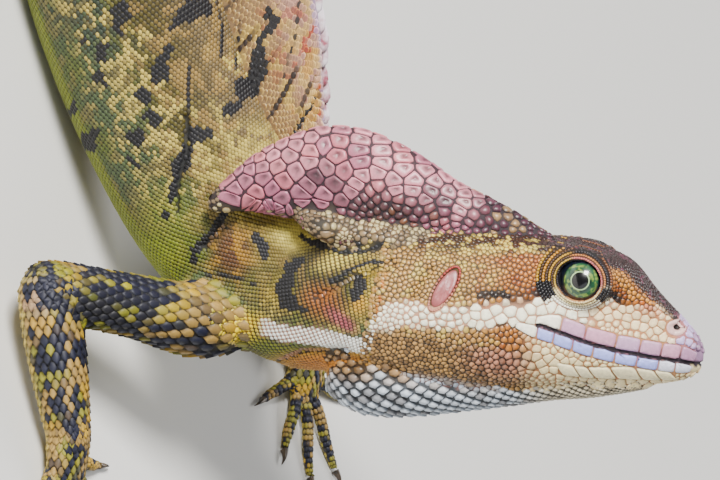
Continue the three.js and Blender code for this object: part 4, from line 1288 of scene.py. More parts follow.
def lay_rows(coat, rows, tone_of, height, wide=1.0, long=1.3, keel=0.8, seam=0.1, reach=0.9,
             shape=HEXAGON, keep=None):
    """Settles rows of scales on the skin and adds them to a coat."""
    root, normal, near_skin = settle(rows["root"], reach)
    if keep is not None:
        near_skin &= keep(root)
    root, normal = root[near_skin], normal[near_skin]
    lie, size, unwrap = (rows[key][near_skin] for key in ("lie", "size", "unwrap"))
    count = len(root)
    tone = tone_of(root, normal, {key: rows[key][near_skin] for key in ("down", "along")})
    tone = tone * rng.uniform(0.82, 1.16, (count, 1))
    jitter = rng.uniform(0.92, 1.04, (count, 1, 1))
    lie = tangent(lie, normal)
    edge = spread_out(rim_of(size * wide, size * long, shape, jitter), normal, lie)
    raised = height * size * rng.uniform(0.85, 1.15, count)
    coat.add(root, normal, lie, edge, raised, tone, tone * seam, unwrap, keel)
    all_roots.append(root)
    all_tones.append(tone)


trunk_coat = Coat()
trunk_rows = rows_on(trunk_grid(np.linspace(0.4, TRUNK_END, 420)), 130, slant=0.32, stretch=1.1)
lay_rows(trunk_coat, trunk_rows, lambda p, n, at: body_tone(p, n, at["down"])[0], 0.17,
         wide=1.16, long=1.42, keel=1.3, reach=1.6, keep=behind_head)

tail_coat = Coat()
TAIL_BANDS = [(0.0, 1.8, 44), (1.8, 3.6, 34), (3.6, 5.5, 26), (5.5, 7.5, 20), (7.5, 9.95, 14)]
for start, end, around in TAIL_BANDS:
    rows = rows_on(tail_grid(np.linspace(start, end, 120)), around, stretch=1.2)
    rows["unwrap"][:, 0] = (start + rows["unwrap"][:, 0] * (end - start)) / 10
    lay_rows(tail_coat, rows, lambda p, n, at: tail_tone(p, at["down"]), 0.18, long=1.55)

limb_coat = Coat()
LIMB_ROUND = {"foreleg": (20, 20, 18), "hindleg": (30, 24, 20)}
for number, (name, (segments, digits)) in enumerate(limbs.items()):
    tone_of = lambda p, n, at: limb_tone(p, n, at["along"])
    for part, rows in enumerate(segments):
        around = LIMB_ROUND[name.split("_")[0]][part]
        laid = rows_on(limb_grid(rows, 40, 12), around, stretch=0.95)
        laid["unwrap"] = (laid["unwrap"] + [part, number]) / 4
        lay_rows(limb_coat, laid, tone_of, 0.15, wide=1.08, long=1.7, keel=1.7, seam=0.04, shape=POINTED)
    for part, (rows, _) in enumerate(digits):
        laid = rows_on(limb_grid(rows, 24, 12), 8, stretch=1.1)
        laid["unwrap"] = (laid["unwrap"] / 5 + [3 + part / 5, number]) / 4
        lay_rows(limb_coat, laid, tone_of, 0.16, long=1.25, keel=0.4)


# %% [markdown]
# ## Plates of the head
# On the head every scale has its own shape: many-sided plates fitted edge to edge. Each starts as
# a seed on the skin. Seeds keep the distance that their place on the head asks for, are spread
# evenly, and each plate then reaches half way to its neighbours on every side.

# %% Places kept for plates that are laid one by one
UPPER_LIP = [18.2, 22.6, 26.9, 32.3, 36.4, 40.1, 43.4, 46.2]
LOWER_LIP = [15.0, 18.9, 21.8, 25.2, 28.8, 32.6, 36.4, 40.1, 43.0, 45.8]
CHIN_ROW = [23.6, 26.8, 29.2, 32.9, 37.2, 40.4, 43.2]
UPPER_TALL, LOWER_TALL = 2.9, 2.4
NOSTRIL = np.array([41.6, 3.7, 3.2])
NOSTRIL_RADIUS = 1.75


def down_the_side(x, down):
    """Places on the right side of the head, at distances down the side from the mouth line."""
    stations = [row[0] for row in HEAD_SECTIONS]
    places = []
    for at, drop in zip(x, down):
        row = through(HEAD_SECTIONS, np.interp(at, stations, np.arange(len(stations))))[0]
        right = head_outline(row)[: SIDES // 2 + 1]
        run = np.concatenate([[0], np.cumsum(np.linalg.norm(np.diff(right, axis=0), axis=1))])
        lip = np.interp(-mouth_height(at), -right[:, 1], run)
        places.append([at, *(np.interp(lip + drop, run, right[:, k]) for k in (0, 1))])
    return np.array(places)


table_x, table_down = (v.ravel() for v in np.meshgrid(np.arange(12, 47.2, 0.4), np.arange(-6, 12, 0.25)))
side_places = down_the_side(table_x, table_down)
side_tree = tree_of(side_places)


def below_mouth(h):
    """How far down the side from the mouth line places in the head's frame are."""
    right = np.stack([h[:, 0], -np.abs(h[:, 1]), h[:, 2]], 1)
    return table_down[[side_tree.find(p)[1] for p in right.tolist()]]


def lip_tall(x, tall, rear):
    """The height of a lip row, which tapers to its rear end and the snout."""
    return tall * (0.45 + 0.55 * smooth((x - rear + 1) / 5)) * (1 - 0.3 * smooth((x - 43) / 4))


def chin_top(x):
    return np.interp(x, [24, 29, 35, 43], [5.3, 4.3, 2.5, 2.2])


def chin_foot(x):
    return chin_top(x) + np.interp(x, [24, 29, 35, 43], [2.6, 2.9, 3.5, 2.4])


def rearward(h):
    """How far round to the rear of the eye places are: 1 right behind it, -1 in front."""
    return (OPENING_AT[0] - h[:, 0]) / OPENING[0] / np.maximum(eye_place(h), 0.1)


def taken(h):
    """Whether a place in the head's frame belongs to the lips, chin shields, eye, ear or nostril."""
    x = h[:, 0]
    below = below_mouth(h)
    upper = (x > UPPER_LIP[0]) & (below <= 0) & (below > -lip_tall(x, UPPER_TALL, UPPER_LIP[0]))
    lower = (x > LOWER_LIP[0]) & (below > 0) & (below < lip_tall(x, LOWER_TALL, LOWER_LIP[0]))
    chin = (x > CHIN_ROW[0]) & (x < CHIN_ROW[-1]) & (below > chin_top(x)) & (below < chin_foot(x))
    sided = np.stack([np.ones(len(h)), np.sign(h[:, 1]), np.ones(len(h))], 1)
    hole = np.linalg.norm((h - NOSTRIL * sided)[:, ::2], axis=1)
    nose = (hole < NOSTRIL_RADIUS) & (h[:, 2] > 0) & (np.abs(h[:, 1]) > 1.8)
    lids = eye_place(h) < np.where(rearward(h) > REAR_LIDS, 1.95, 1.56)
    return upper | lower | chin | nose | lids | (ear_place(h) < 1.22)


REAR_LIDS = 0.6


def plate_size(h, kind, pixels):
    """How far apart the seeds of plates stand, in millimetres."""
    size = np.full(len(h), 0.77)
    stripe = smooth((14 - beside(pixels, LIP_STRIPE)) / 4) * smooth((h[:, 0] + 8) / 8)
    size = lerp(size, 1.3 + 0.9 * smooth((h[:, 0] - 2) / 12) - 0.5 * smooth((h[:, 0] - 21) / 6), stripe)
    below = mouth_height(h[:, 0]) - h[:, 2]
    cheek = smooth((below - 2.4) / 2) * smooth((h[:, 0] - 2) / 8)
    size = lerp(size, 0.9 + 1.0 * smooth((h[:, 0] - 10) / 12) * smooth((9.5 - below) / 3), cheek)
    size = lerp(size, 0.62, smooth((2.3 - eye_place(h)) / 0.5) * smooth((h[:, 2] - 4.5) / 2))
    size = lerp(size, 1.9, smooth((h[:, 0] - 36) / 5) * smooth((h[:, 2] - 0) / 1) * smooth((5.5 - h[:, 2]) / 2))
    size = lerp(size, 1.5, smooth((h[:, 0] - 44) / 2))
    rows = through(CASQUE, np.interp(-h[:, 0], [-r[0] for r in CASQUE], np.arange(len(CASQUE))))
    tall = np.clip((h[:, 2] - rows[:, 2]) / (rows[:, 1] - rows[:, 2]), 0, 1)
    floor = lerp(0.34, -0.7, smooth((-15 - h[:, 0]) / 12))
    lobe = 0.95 + 1.35 * smooth((tall - floor) / 0.55) * (0.4 + 0.6 * smooth((6 - h[:, 0]) / 12))
    lobe *= lerp(0.5 + 0.5 * smooth((tall + 0.05) / 0.3), 0.85, smooth((-28 - h[:, 0]) / 6))
    size = np.where(kind == 2, lerp(lobe, 0.9, smooth((h[:, 0] - 9) / 5)), size)
    return np.where((kind == 5) | (kind == 6), 0.85, size)


def spread_apart(p, kind):
    """Where places count as being when seeds are spread: the crest's two faces stand apart, and
    its plates are half as long again as they are tall."""
    h = to_head(p)
    h[:, 1] += np.where(kind == 2, 6.0 * np.sign(h[:, 1]), 0)
    h[:, 0] *= np.where(kind == 2, 0.56, 1)
    return h


# %% Scatter seeds, spread them evenly and find each plate's reach
SAMPLES = 120000
pick = np.where(of_head)[0]
corner = points[faces[pick]]
area = np.linalg.norm(np.cross(corner[:, 1] - corner[:, 0], corner[:, 2] - corner[:, 0]), axis=1)
chosen = rng.choice(len(pick), SAMPLES, p=area / area.sum())
u, v = rng.uniform(size=(2, SAMPLES, 1))
u, v = np.where(u + v > 1, 1 - u, u), np.where(u + v > 1, 1 - v, v)
a, b, c = (points[faces[pick[chosen], k]] for k in range(3))
samples = a + u * (b - a) + v * (c - a)
sample_kind = kind_of_face[pick[chosen]]
h = to_head(samples)
free = ~(taken(h) & (sample_kind != 2))
samples, sample_kind, h = samples[free], sample_kind[free], h[free]
wanted = plate_size(h, sample_kind, seen_at(near_twin(samples)[0]))


apart = spread_apart(samples, sample_kind)
sample_tree = tree_of(apart)
waiting = np.ones(len(samples), bool)
seeds = []
for k in rng.permutation(len(samples)):
    if waiting[k]:
        seeds.append(k)
        for _, other, _ in sample_tree.find_range(apart[k], 0.82 * wanted[k]):
            waiting[other] = False
seed_points, seed_kind = samples[seeds], sample_kind[seeds]
weight = 1 / wanted**2
for _ in range(6):
    seed_tree = tree_of(spread_apart(seed_points, seed_kind))
    owner = np.array([seed_tree.find(p)[1] for p in apart.tolist()])
    total = np.bincount(owner, weight, len(seed_points))
    moved = np.stack([np.bincount(owner, weight * samples[:, k], len(seed_points)) for k in range(3)], 1)
    has = total > 0
    seed_points[has] = moved[has] / total[has, None]
seed_points, seed_normals, _ = settle(seed_points)
seed_tree = tree_of(seed_points)
seed_apart = spread_apart(seed_points, seed_kind)
seed_size = wanted[[sample_tree.find(p)[1] for p in seed_apart.tolist()]]
print("plates on the head:", len(seed_points))

NEIGHBOURS = 14
found = np.array([[f[1] for f in seed_tree.find_n(p, NEIGHBOURS + 1)] for p in seed_points.tolist()])[:, 1:]
to_rear = tangent(np.repeat(-HEAD_X[None], len(seed_points), 0) - 0.35 * HEAD_Z, seed_normals)
to_side = np.cross(seed_normals, to_rear)


def plate_reach(index, corners):
    """The outline of each plate: half way to its neighbours in every direction."""
    away = seed_points[found[index]] - seed_points[index][:, None]
    flat = np.stack([np.sum(away * to_rear[index][:, None], 2), np.sum(away * to_side[index][:, None], 2)], 2)
    gap = np.linalg.norm(flat, axis=2)
    same_face = np.sum(seed_normals[found[index]] * seed_normals[index][:, None], axis=2) > 0
    same_face &= gap > 0.4 * np.linalg.norm(away, axis=2)
    way = np.arctan2(flat[:, :, 1], flat[:, :, 0])
    angle = np.linspace(0, 2 * np.pi, corners, endpoint=False)
    facing = np.cos(angle[None, :, None] - way[:, None, :])
    counts = (facing > 0.12) & same_face[:, None]
    reach = np.where(counts, gap[:, None] / 2 / np.maximum(facing, 0.12), 99).min(axis=2)
    longest = np.where(seed_kind[index] == 2, 1.7, 1.0) * seed_size[index]
    reach = np.minimum(reach, longest[:, None])
    rim = reach[:, :, None] * np.stack([np.cos(angle), np.sin(angle)], 1)[None]
    return spread_out(rim, seed_normals[index], to_rear[index])


def kept_clear(root, edge):
    """Draws in the rims that would lie over a place kept for another plate."""
    for _ in range(5):
        at = to_head((root[:, None] + edge).reshape(-1, 3))
        blocked = taken(at).reshape(edge.shape[:2])
        edge = np.where(blocked[:, :, None], edge * 0.8, edge)
    return edge


def draped(root, edge):
    """Rims moved onto the skin."""
    place, _, _ = settle((root[:, None] + edge).reshape(-1, 3))
    return place.reshape(edge.shape) - root[:, None]


# %% Markings of the head, with painted shade on the front of the snout
CROWN_EDGE = [(430, 232), (500, 236), (548, 244), (575, 239), (604, 252), (618, 266), (632, 286), (655, 306), (668, 318)]


def throat_tone(p, pixels):
    """Bluish white scales on the pouch, tan above and towards the chin."""
    px, py = pixels.T
    down = py - np.interp(px, [330, 400, 470, 540, 620], [362, 366, 372, 380, 384])
    tone = np.repeat(lerp(ICE, CHALK, 0.35)[None], len(p), 0)
    tan = smooth((26 - down) / 18) * smooth((noise(p, 3, 37) - 0.2) / 0.3)
    tone = paint(tone, lerp(TAN, BEIGE, 0.6), tan * smooth((520 - px) / 60))
    tone = paint(tone, lerp(CREAM, TAN, 0.3), smooth((px - 500) / 60) * 0.7)
    return paint(tone, BROWN, smooth((noise(p, 1.4, 38) - 0.6) / 0.08) * 0.6)


def head_tone(p, normal, kind):
    twin, _ = near_twin(p)
    pixels = seen_at(twin)
    h = to_head(p)
    px, py = pixels.T
    fine = noise(p, 1.1, 31)
    lumps = noise(p, 4.5, 32)
    facing_up = normal @ HEAD_Z
    tone = np.repeat(lerp(lerp(GOLD, TAN, 0.5), BEIGE, 0.35)[None], len(p), 0)
    tone = paint(tone, lerp(AMBER, BROWN, 0.35), smooth((px - 462) / 60) * 0.75)
    tone = paint(tone, STRAW, smooth((noise(p, 1.3, 33) - 0.55) / 0.15) * smooth((520 - px) / 50) * 0.5)
    tone = paint(tone, RUST, smooth((fine - 0.62) / 0.12) * smooth((px - 440) / 50) * 0.5)
    tone = paint(tone, lerp(BROWN, RUST, 0.35), patch(pixels, (405, 236), (34, 15)) * 0.8)
    tone = paint(tone, lerp(GOLD, STRAW, 0.3), patch(pixels, (405, 236), (34, 15)) * smooth((fine - 0.6) / 0.1) * 0.7)
    edge = beside(pixels, CROWN_EDGE)
    above = py < np.interp(px, [a for a, _ in CROWN_EDGE], [b for _, b in CROWN_EDGE])
    crown = np.where(above, smooth(edge / 7 + 0.1), 0)
    crown = np.maximum(crown, smooth((facing_up - 0.55) / 0.25) * smooth((h[:, 2] - 2) / 3) * (kind != 2))
    rear_crown = lerp(lerp(PLUM, BROWN, 0.5), STRAW, smooth((fine - 0.55) / 0.08)[:, None])
    front_crown = lerp(lerp(INK, PLUM, 0.6), lerp(PLUM, MAUVE, 0.35), smooth((fine - 0.6) / 0.2)[:, None])
    tops = lerp(rear_crown, front_crown, smooth((px - 528) / 26)[:, None])
    tone = tone + (tops - tone) * (0.95 * crown)[:, None]
    tone = paint(tone, lerp(STRAW, GOLD, 0.3), patch(pixels, (494, 240), (46, 7)) * smooth((fine - 0.5) / 0.1) * 0.8)
    brow = smooth((7 - beside(pixels, [(556, 250), (584, 246), (608, 262), (632, 292), (655, 312)])) / 3)
    tone = paint(tone, lerp(AMBER, STRAW, 0.3), brow * (1 - crown) * 0.85)
    tone = paint(tone, INK, smooth(1.35 - inside(pixels, (542, 291), (12, 9), 20)))
    tone = paint(tone, INK, smooth(1.35 - inside(pixels, (611, 297), (15, 9), -25)))
    dots = patch(pixels, (496, 295), (44, 7)) * smooth((noise(p, 1.4, 34) - 0.42) / 0.06)
    tone = paint(tone, lerp(INK, BROWN, 0.25), dots)
    stripe = smooth((14 - beside(pixels, LIP_STRIPE)) / 3) * (py > 298)
    tone = paint(tone, lerp(CHALK, CREAM, 0.25), stripe)
    fore = smooth((px - 580) / 20) * (py > 304) * (1 - crown)
    tone = paint(tone, lerp(CREAM, PINK, 0.25), fore)
    tone = paint(tone, ORANGE, smooth(1.3 - inside(pixels, (648, 308), (16, 5), -30)) * 0.7)
    tone = paint(tone, LILAC, smooth((px - 668) / 10) * (py > 316))
    # Painted shade: the very front of the snout turns away from the light
    tone = paint(tone, MAUVE, smooth((px - 690) / 8) * 0.6)
    below = py - np.interp(px, [380, 450, 520, 600, 680], [326, 336, 350, 366, 374])
    jaw = smooth(below / 8)
    tone = paint(tone, lerp(lerp(TAN, GOLD, 0.35), BEIGE, 0.4), jaw)
    tone = paint(tone, lerp(TAN, PINK, 0.45), jaw * patch(pixels, (505, 358), (50, 26)) * 0.75)
    under_lip = smooth((px - 512) / 36) * (below_mouth(h) > 0)
    tone = paint(tone, lerp(CREAM, PINK, 0.12), under_lip)
    dots = smooth((noise(p, 0.8, 36) - 0.5) / 0.06) * smooth((540 - px) / 60)
    tone = paint(tone, lerp(UMBER, BROWN, 0.5), jaw * dots * 0.6)
    throat = smooth((below - 40) / 8)
    tone = paint(tone, lerp(ICE, CHALK, 0.3), throat * (0.6 + 0.4 * smooth((fine - 0.3) / 0.2)))
    tone = paint(tone, throat_tone(p, pixels), (kind == 3) * 1.0)
    pad_colour = lerp(lerp(BEIGE, PLUM, 0.5), CREAM, 0.4 * smooth((fine - 0.5) / 0.1)[:, None])
    tone = paint(tone, pad_colour, (kind == 5) * 0.9)
    nape = kind == 6
    tone[nape] = body_tone(p[nape], normal[nape], np.full(nape.sum(), 0.15))[0]
    rows = through(CASQUE, np.interp(-h[:, 0], [-r[0] for r in CASQUE], np.arange(len(CASQUE))))
    tall = np.clip((h[:, 2] - rows[:, 2]) / (rows[:, 1] - rows[:, 2]), 0, 1)
    lobe = np.repeat(lerp(PINK, MAUVE, 0.35)[None], len(p), 0)
    lobe = paint(lobe, MAUVE, smooth((lumps - 0.45) / 0.2) * 0.6)
    lobe = paint(lobe, MAUVE, smooth((0.66 - tall) / 0.35) * 0.75)
    lobe = paint(lobe, lerp(ROSE, PINK, 0.4), smooth((noise(p, 3, 35) - 0.58) / 0.15) * 0.45)
    lobe = paint(lobe, PLUM, patch(pixels, (322, 178), (26, 13), -10) * 0.8)
    lobe = paint(lobe, lerp(PLUM, BROWN, 0.4), patch(pixels, (385, 210), (58, 17), -8) * 0.9)
    lobe = paint(lobe, PLUM, patch(pixels, (440, 200), (24, 15), -30) * 0.75)
    lobe = paint(lobe, lerp(BROWN, PLUM, 0.4), smooth((0.42 - tall) / 0.2) * smooth((h[:, 0] + 22) / 6) * 0.9)
    lobe = paint(lobe, lerp(BROWN, TAN, 0.35), patch(pixels, (412, 218), (36, 12)) * smooth((fine - 0.45) / 0.1) * 0.7)
    lobe = paint(lobe, PLUM, smooth((h[:, 0] + 1) / 9) * 0.85)
    lobe = paint(lobe, lerp(TAN, CREAM, 0.3), smooth((h[:, 0] - 0) / 5) * smooth((fine - 0.6) / 0.06) * 0.5)
    is_crest = (kind == 2).astype(float)
    return paint(tone, 0, is_crest) + lobe * is_crest[:, None]


# %% Lay the head's plates
head_coat, crest_coat, throat_coat = Coat(), Coat(), Coat()
head_span = np.array([-46.0, 48.0])


def head_unwrap(p):
    h = to_head(p)
    turn = np.arctan2(h[:, 1], -h[:, 2] - 2) / (2 * np.pi) + 0.5
    return np.stack([0.02 + 0.96 * (h[:, 0] - head_span[0]) / np.ptp(head_span), 0.02 + 0.96 * turn], 1)


def lay_plates(coat, chosen, corners, height, profile, shrink=0.96, keel=0.0, slide=UP * 0):
    index = np.where(chosen)[0]
    root, normal, lie = seed_points[index], seed_normals[index], to_rear[index]
    edge = plate_reach(index, corners) * shrink
    if profile is not DOME:
        edge = draped(root, edge)
    edge = kept_clear(root, edge)
    tone = head_tone(root, normal, seed_kind[index]) * rng.uniform(0.86, 1.12, (len(index), 1))
    raised = height * seed_size[index] * rng.uniform(0.85, 1.15, len(index))
    # Plates other than pitted ones get a crown brighter than their tone, a painted highlight; a pitted plate's crown is
    # painted dark, as shade in its pit
    coat.add(root, normal, lie, edge, raised, tone, seam_of(tone, seed_kind[index]), head_unwrap(root),
             keel, profile, 0.45 if profile is PITTED else 1.15, slide)
    all_roots.append(root)
    all_tones.append(tone)


def seam_of(tone, kind):
    """Seams are dark between small scales, rusty between pale ones and plum on the crest."""
    pale = (smooth((tone.mean(axis=1) - 0.3) / 0.2) * (kind != 3))[:, None]
    dark = lerp(tone * 0.12, lerp(tone * 0.5, lerp(RUST, AMBER, 0.5), 0.6), pale)
    dark[kind == 2] = lerp(tone[kind == 2] * 0.15, PLUM * 0.7, 0.6)
    return dark


large = seed_size > 1.55
on_head = seed_kind != 2
lay_plates(head_coat, ~large & on_head, 8, 0.14, DOME, keel=0.8)
lay_plates(head_coat, large & on_head, 18, 0.1, SHIELD)
lay_plates(crest_coat, ~large & (seed_kind == 2), 8, 0.22, DOME)
PIT_SLIDE = 0.16 * HEAD_X + 0.26 * HEAD_Z
lay_plates(crest_coat, large & (seed_kind == 2), 18, 0.15, PITTED, slide=PIT_SLIDE)

# The pouch hangs in rows of pointed scales, with wide dark seams where the skin is stretched
throat_rows = rows_on(lobe_grid(POUCH, 2), 30, slant=0.4, stretch=1.1)
lay_rows(throat_coat, throat_rows, lambda p, n, at: throat_tone(p, seen_at(near_twin(p)[0])), 0.26,
         wide=1.0, long=1.45, keel=1.0, seam=0.06, shape=POINTED,
         keep=lambda p: (kind_at(p) == 3) & ~taken(to_head(p)))


# %% [markdown]
# ## Lips, chin shields, lids, ears and nostrils
# These are the plates that give the face its look, so each is placed one by one: two rows of oblong
# plates along the mouth, slanting shields below them, rows of beads round the eye, a bare eardrum
# and a nostril that opens in the middle of its own plate.

# %% Rows of lip plates and chin shields
ROUNDED = 24
SQUARENESS = 7


def side_skin(x, z, side):
    """The skin at places in the head's frame, met from that side, or else the nearest skin."""
    start = in_head(np.stack([x, np.full(len(x), side * 25.0), z], 1))
    inner = in_head(np.stack([x, np.full(len(x), side * 3.0), z], 1))
    way = Vector(-side * HEAD_Y)
    hits = [skin_tree.ray_cast(Vector(p), way)[0] for p in start]
    return np.array([hit or skin_tree.find_nearest(Vector(p))[0] for hit, p in zip(hits, inner)])


def lay_row(edges, low, high, colours, lean=0.0, height=0.3, seam=None):
    """Oblong plates between two distances below the mouth line, one for each pair of edges."""
    angle = np.linspace(0, 2 * np.pi, ROUNDED, endpoint=False)
    box = np.stack([power(np.cos(angle), SQUARENESS), power(np.sin(angle), SQUARENESS)], 1)
    for side in (-1, 1):
        for k, (a, b) in enumerate(zip(edges[:-1], edges[1:])):
            half = (b - a) / 2 - 0.07
            place = np.vstack([box, [[0, 0]]])
            x = (a + b) / 2 + place[:, 0] * half + lean * place[:, 1]
            l, r = low(x), high(x)
            down = (l + r) / 2 - place[:, 1] * ((r - l) / 2 - 0.05)
            skin_at, _, _ = settle(in_head(down_the_side(x, down) * [1, -side, 1]))
            _, lean_out, _ = settle(skin_at[-1:])
            root = skin_at[-1:]
            tone = colours(k)[None] * rng.uniform(0.92, 1.06)
            dark = lerp(tone * 0.25, BROWN, 0.5) if seam is None else tone * seam
            lie = tangent(-HEAD_X[None], lean_out)
            head_coat.add(root, lean_out, lie, (skin_at[:-1] - root)[None], np.array([height]), tone, dark,
                          head_unwrap(root), 0.0, ((0.93, 0.7, 0.95), (0.7, 0.95, 1.0)), 1.0)
            all_roots.append(root)
            all_tones.append(tone)


def upper_colour(k):
    if k == 0:
        return CHALK
    return lerp(lerp(LILAC, PINK, 0.35 + 0.15 * (k % 3)), MAUVE, 0.45 if k > 5 else 0.12)


def lower_colour(k):
    return CHALK if k == 0 else lerp(SKY, CHALK, 0.05 if k < 7 else 0.6)


LIP_GAP = 0.06
lay_row(UPPER_LIP, lambda x: -lip_tall(x, UPPER_TALL, UPPER_LIP[0]), lambda x: -LIP_GAP + 0 * x, upper_colour)
lay_row(LOWER_LIP, lambda x: LIP_GAP + 0 * x, lambda x: lip_tall(x, LOWER_TALL, LOWER_LIP[0]), lower_colour)
lay_row(CHIN_ROW, chin_top, chin_foot, lambda k: lerp(CREAM, CHALK, 0.3), lean=-0.9)

# %% Rows of beads round the eyes
# Each row has its place as a share of the opening, its count of beads and their size
LID_ROWS = [
    (1.0, 62, 0.42),
    (1.11, 64, 0.44),
    (1.22, 64, 0.48),
    (1.34, 66, 0.52),
    (1.48, 66, 0.58),
    (1.62, 66, 0.6),
    (1.76, 66, 0.62),
    (1.89, 68, 0.64),
]
UPPER_LID = [
    lerp(INK, PLUM, 0.5),
    lerp(ORANGE, PINK, 0.45),
    lerp(ORANGE, STRAW, 0.3),
    lerp(INK, PLUM, 0.6),
    lerp(AMBER, UMBER, 0.7),
]
LOWER_LID = [lerp(INK, PLUM, 0.6), lerp(CREAM, TAN, 0.3), CREAM, lerp(CREAM, ICE, 0.3), CHALK]
REAR_LID = [lerp(INK, PLUM, 0.5), lerp(GOLD, STRAW, 0.3), BROWN, GOLD, BROWN, lerp(GOLD, AMBER, 0.3), BROWN, GOLD]


def lid_tone(row, angle):
    """Orange and pink above and in front, gold and brown in turn behind, and pale below."""
    upper = smooth((np.sin(angle) + 0.35) / 0.5)[:, None]
    behind = smooth((-np.cos(angle) - 0.3) / 0.3)[:, None]
    place = min(row, 4)
    tone = lerp(np.repeat(LOWER_LID[place][None], len(angle), 0), UPPER_LID[place], upper)
    tone = lerp(tone, REAR_LID[row], behind * smooth((np.sin(angle) + 0.75) / 0.3)[:, None])
    turn = np.degrees(angle) % 360
    dark_corner = (np.abs(turn - 212) < 17) & (row > 2)
    dark_corner |= (np.abs((turn + 180) % 360 - 160) < 15) & (row > 1)
    return np.where(dark_corner[:, None], INK, tone)


for side in (-1, 1):
    for row, (place, count, size) in enumerate(LID_ROWS):
        angle = 2 * np.pi * (np.arange(count) + 0.5 * (row % 2)) / count
        if row > 4:
            angle = angle[-np.cos(angle) > REAR_LIDS]
            count = len(angle)
        x = OPENING_AT[0] + place * OPENING[0] * np.cos(angle)
        z = OPENING_AT[2] + place * OPENING[1] * np.sin(angle)
        start = side_skin(x, z, side)
        root, normal, _ = settle(start)
        lie = tangent(np.gradient(root, axis=0), normal)
        tone = lid_tone(row, angle) * rng.uniform(0.85, 1.12, (count, 1))
        sizes = np.full(count, size)
        edge = spread_out(rim_of(sizes * 0.95, sizes * 1.15), normal, lie)
        lifted = root + normal * 0.1
        dark = lerp(tone * 0.75, seam_of(tone, np.zeros(count)), smooth((np.sin(angle) + 0.5) / 0.3)[:, None])
        head_coat.add(lifted, normal, lie, edge, sizes * 0.22, tone, dark, head_unwrap(root))
        all_roots.append(root)
        all_tones.append(tone)

# %% Eardrums with their rims, and nostrils
for side in (-1, 1):
    lean = math.radians(EAR["lean"])
    angle = np.linspace(0, 2 * np.pi, 36, endpoint=False)
    for place, is_rim in ((1.12, True), (0.97, False)):
        across = EAR["radii"][0] * place * np.cos(angle)
        along = EAR["radii"][1] * place * np.sin(angle)
        x = EAR["at"][0] + along * math.sin(lean) + across * math.cos(lean)
        z = EAR["at"][2] + along * math.cos(lean) - across * math.sin(lean)
        ring = side_skin(np.append(x, EAR["at"][0]), np.append(z, EAR["at"][2]), side)
        if is_rim:
            root, normal, _ = settle(ring[:-1])
            lie = tangent(np.gradient(root, axis=0), normal)
            upper = smooth(np.sin(angle) + 0.4)[:, None]
            tone = lerp(lerp(TAN, PINK, 0.4), lerp(ROSE, BROWN, 0.2), upper) * rng.uniform(0.8, 1.15, (36, 1))
            edge = spread_out(rim_of(np.full(36, 0.5), np.full(36, 0.75)), normal, lie)
            head_coat.add(root, normal, lie, edge, np.full(36, 0.22), tone, tone * 0.45, head_unwrap(root))
        else:
            root, normal, _ = settle(ring[-1:])
            lie = tangent(-HEAD_X[None], normal)
            drum = ((0.9, 0.5, 0.8), (0.6, 0.15, 1.0), (0.3, 0.5, 0.85))
            skin_pink = lerp(lerp(ROSE, PINK, 0.45), BROWN, 0.35)[None]
            head_coat.add(root, normal, lie, (ring[:-1] - root)[None], np.array([0.3]), skin_pink,
                          ROSE[None] * 0.35, head_unwrap(root), 0.0, drum, 0.95)
    x = NOSTRIL[0] + NOSTRIL_RADIUS * np.cos(angle)
    z = NOSTRIL[2] + NOSTRIL_RADIUS * 0.8 * np.sin(angle)
    ring = side_skin(np.append(x, NOSTRIL[0]), np.append(z, NOSTRIL[2]), side)
    root, normal, _ = settle(ring[-1:])
    lie = tangent(-HEAD_X[None], normal)
    # The inner rings and floor of the nostril are painted near black, as shade in the hole
    funnel = ((0.88, 0.8, 0.95), (0.4, 1.0, 0.85), (0.31, 0.6, 0.15), (0.26, -0.2, 0.01))
    head_coat.add(root, normal, lie, (ring[:-1] - root)[None], np.array([0.35]), lerp(PINK, CHALK, 0.35)[None],
                  lerp(ROSE, BROWN, 0.5)[None], head_unwrap(root), 0.0, funnel, 0.02)

# %% Fill the places that are still bare
# A place is bare where the nearest scale's middle is further off than half a scale there is long
FILL_APART = 0.8
SMALL_SCALE_GAP = 1.0
CREST_END = -40.5
covered = tree_of(np.vstack(all_roots))
ground = np.where((kind_of_face != 9) & (kind_of_face != 3))[0]
away = np.array([covered.find(p)[2] for p in middle[ground].tolist()])
ground, away = ground[away > SMALL_SCALE_GAP], away[away > SMALL_SCALE_GAP]
kind = kind_of_face[ground]
h = to_head(middle[ground])
wanted_here = plate_size(h, kind, seen_at(near_twin(middle[ground])[0]))
half_long = 0.62 * wanted_here / np.where(kind == 2, 0.56, 1) + 0.4
small_there = (kind >= 4) | ((kind == 2) & (h[:, 0] < CREST_END))
bare = (small_there | (away > half_long)) & ~(taken(h) & (kind != 2))
spots, kind = middle[ground[bare]], kind[bare]
print("bare faces by kind:", {int(k): int((kind == k).sum()) for k in np.unique(kind)})
spot_tree = tree_of(spots)
waiting = np.ones(len(spots), bool)
fills = []
for k in rng.permutation(len(spots)):
    if waiting[k]:
        fills.append(k)
        for _, other, _ in spot_tree.find_range(spots[k], FILL_APART):
            waiting[other] = False
root, normal, _ = settle(spots[fills])
known_tones = np.vstack(all_tones)
beside_tone = known_tones[[covered.find(p)[1] for p in root.tolist()]]
for coat, here in ((crest_coat, kind[fills] == 2), (head_coat, kind[fills] != 2)):
    count = int(here.sum())
    lie = tangent(np.repeat(-HEAD_X[None], count, 0), normal[here])
    size = np.full(count, FILL_APART)
    edge = spread_out(rim_of(size * 1.1, size * 1.3), normal[here], lie)
    tone = beside_tone[here] * rng.uniform(0.85, 1.1, (count, 1))
    coat.add(root[here], normal[here], lie, edge, size * 0.16, tone, seam_of(tone, kind[fills][here]),
             head_unwrap(root[here]), 0.8)
    all_roots.append(root[here])
    all_tones.append(tone)
    print("small scales laid in bare places:", count)

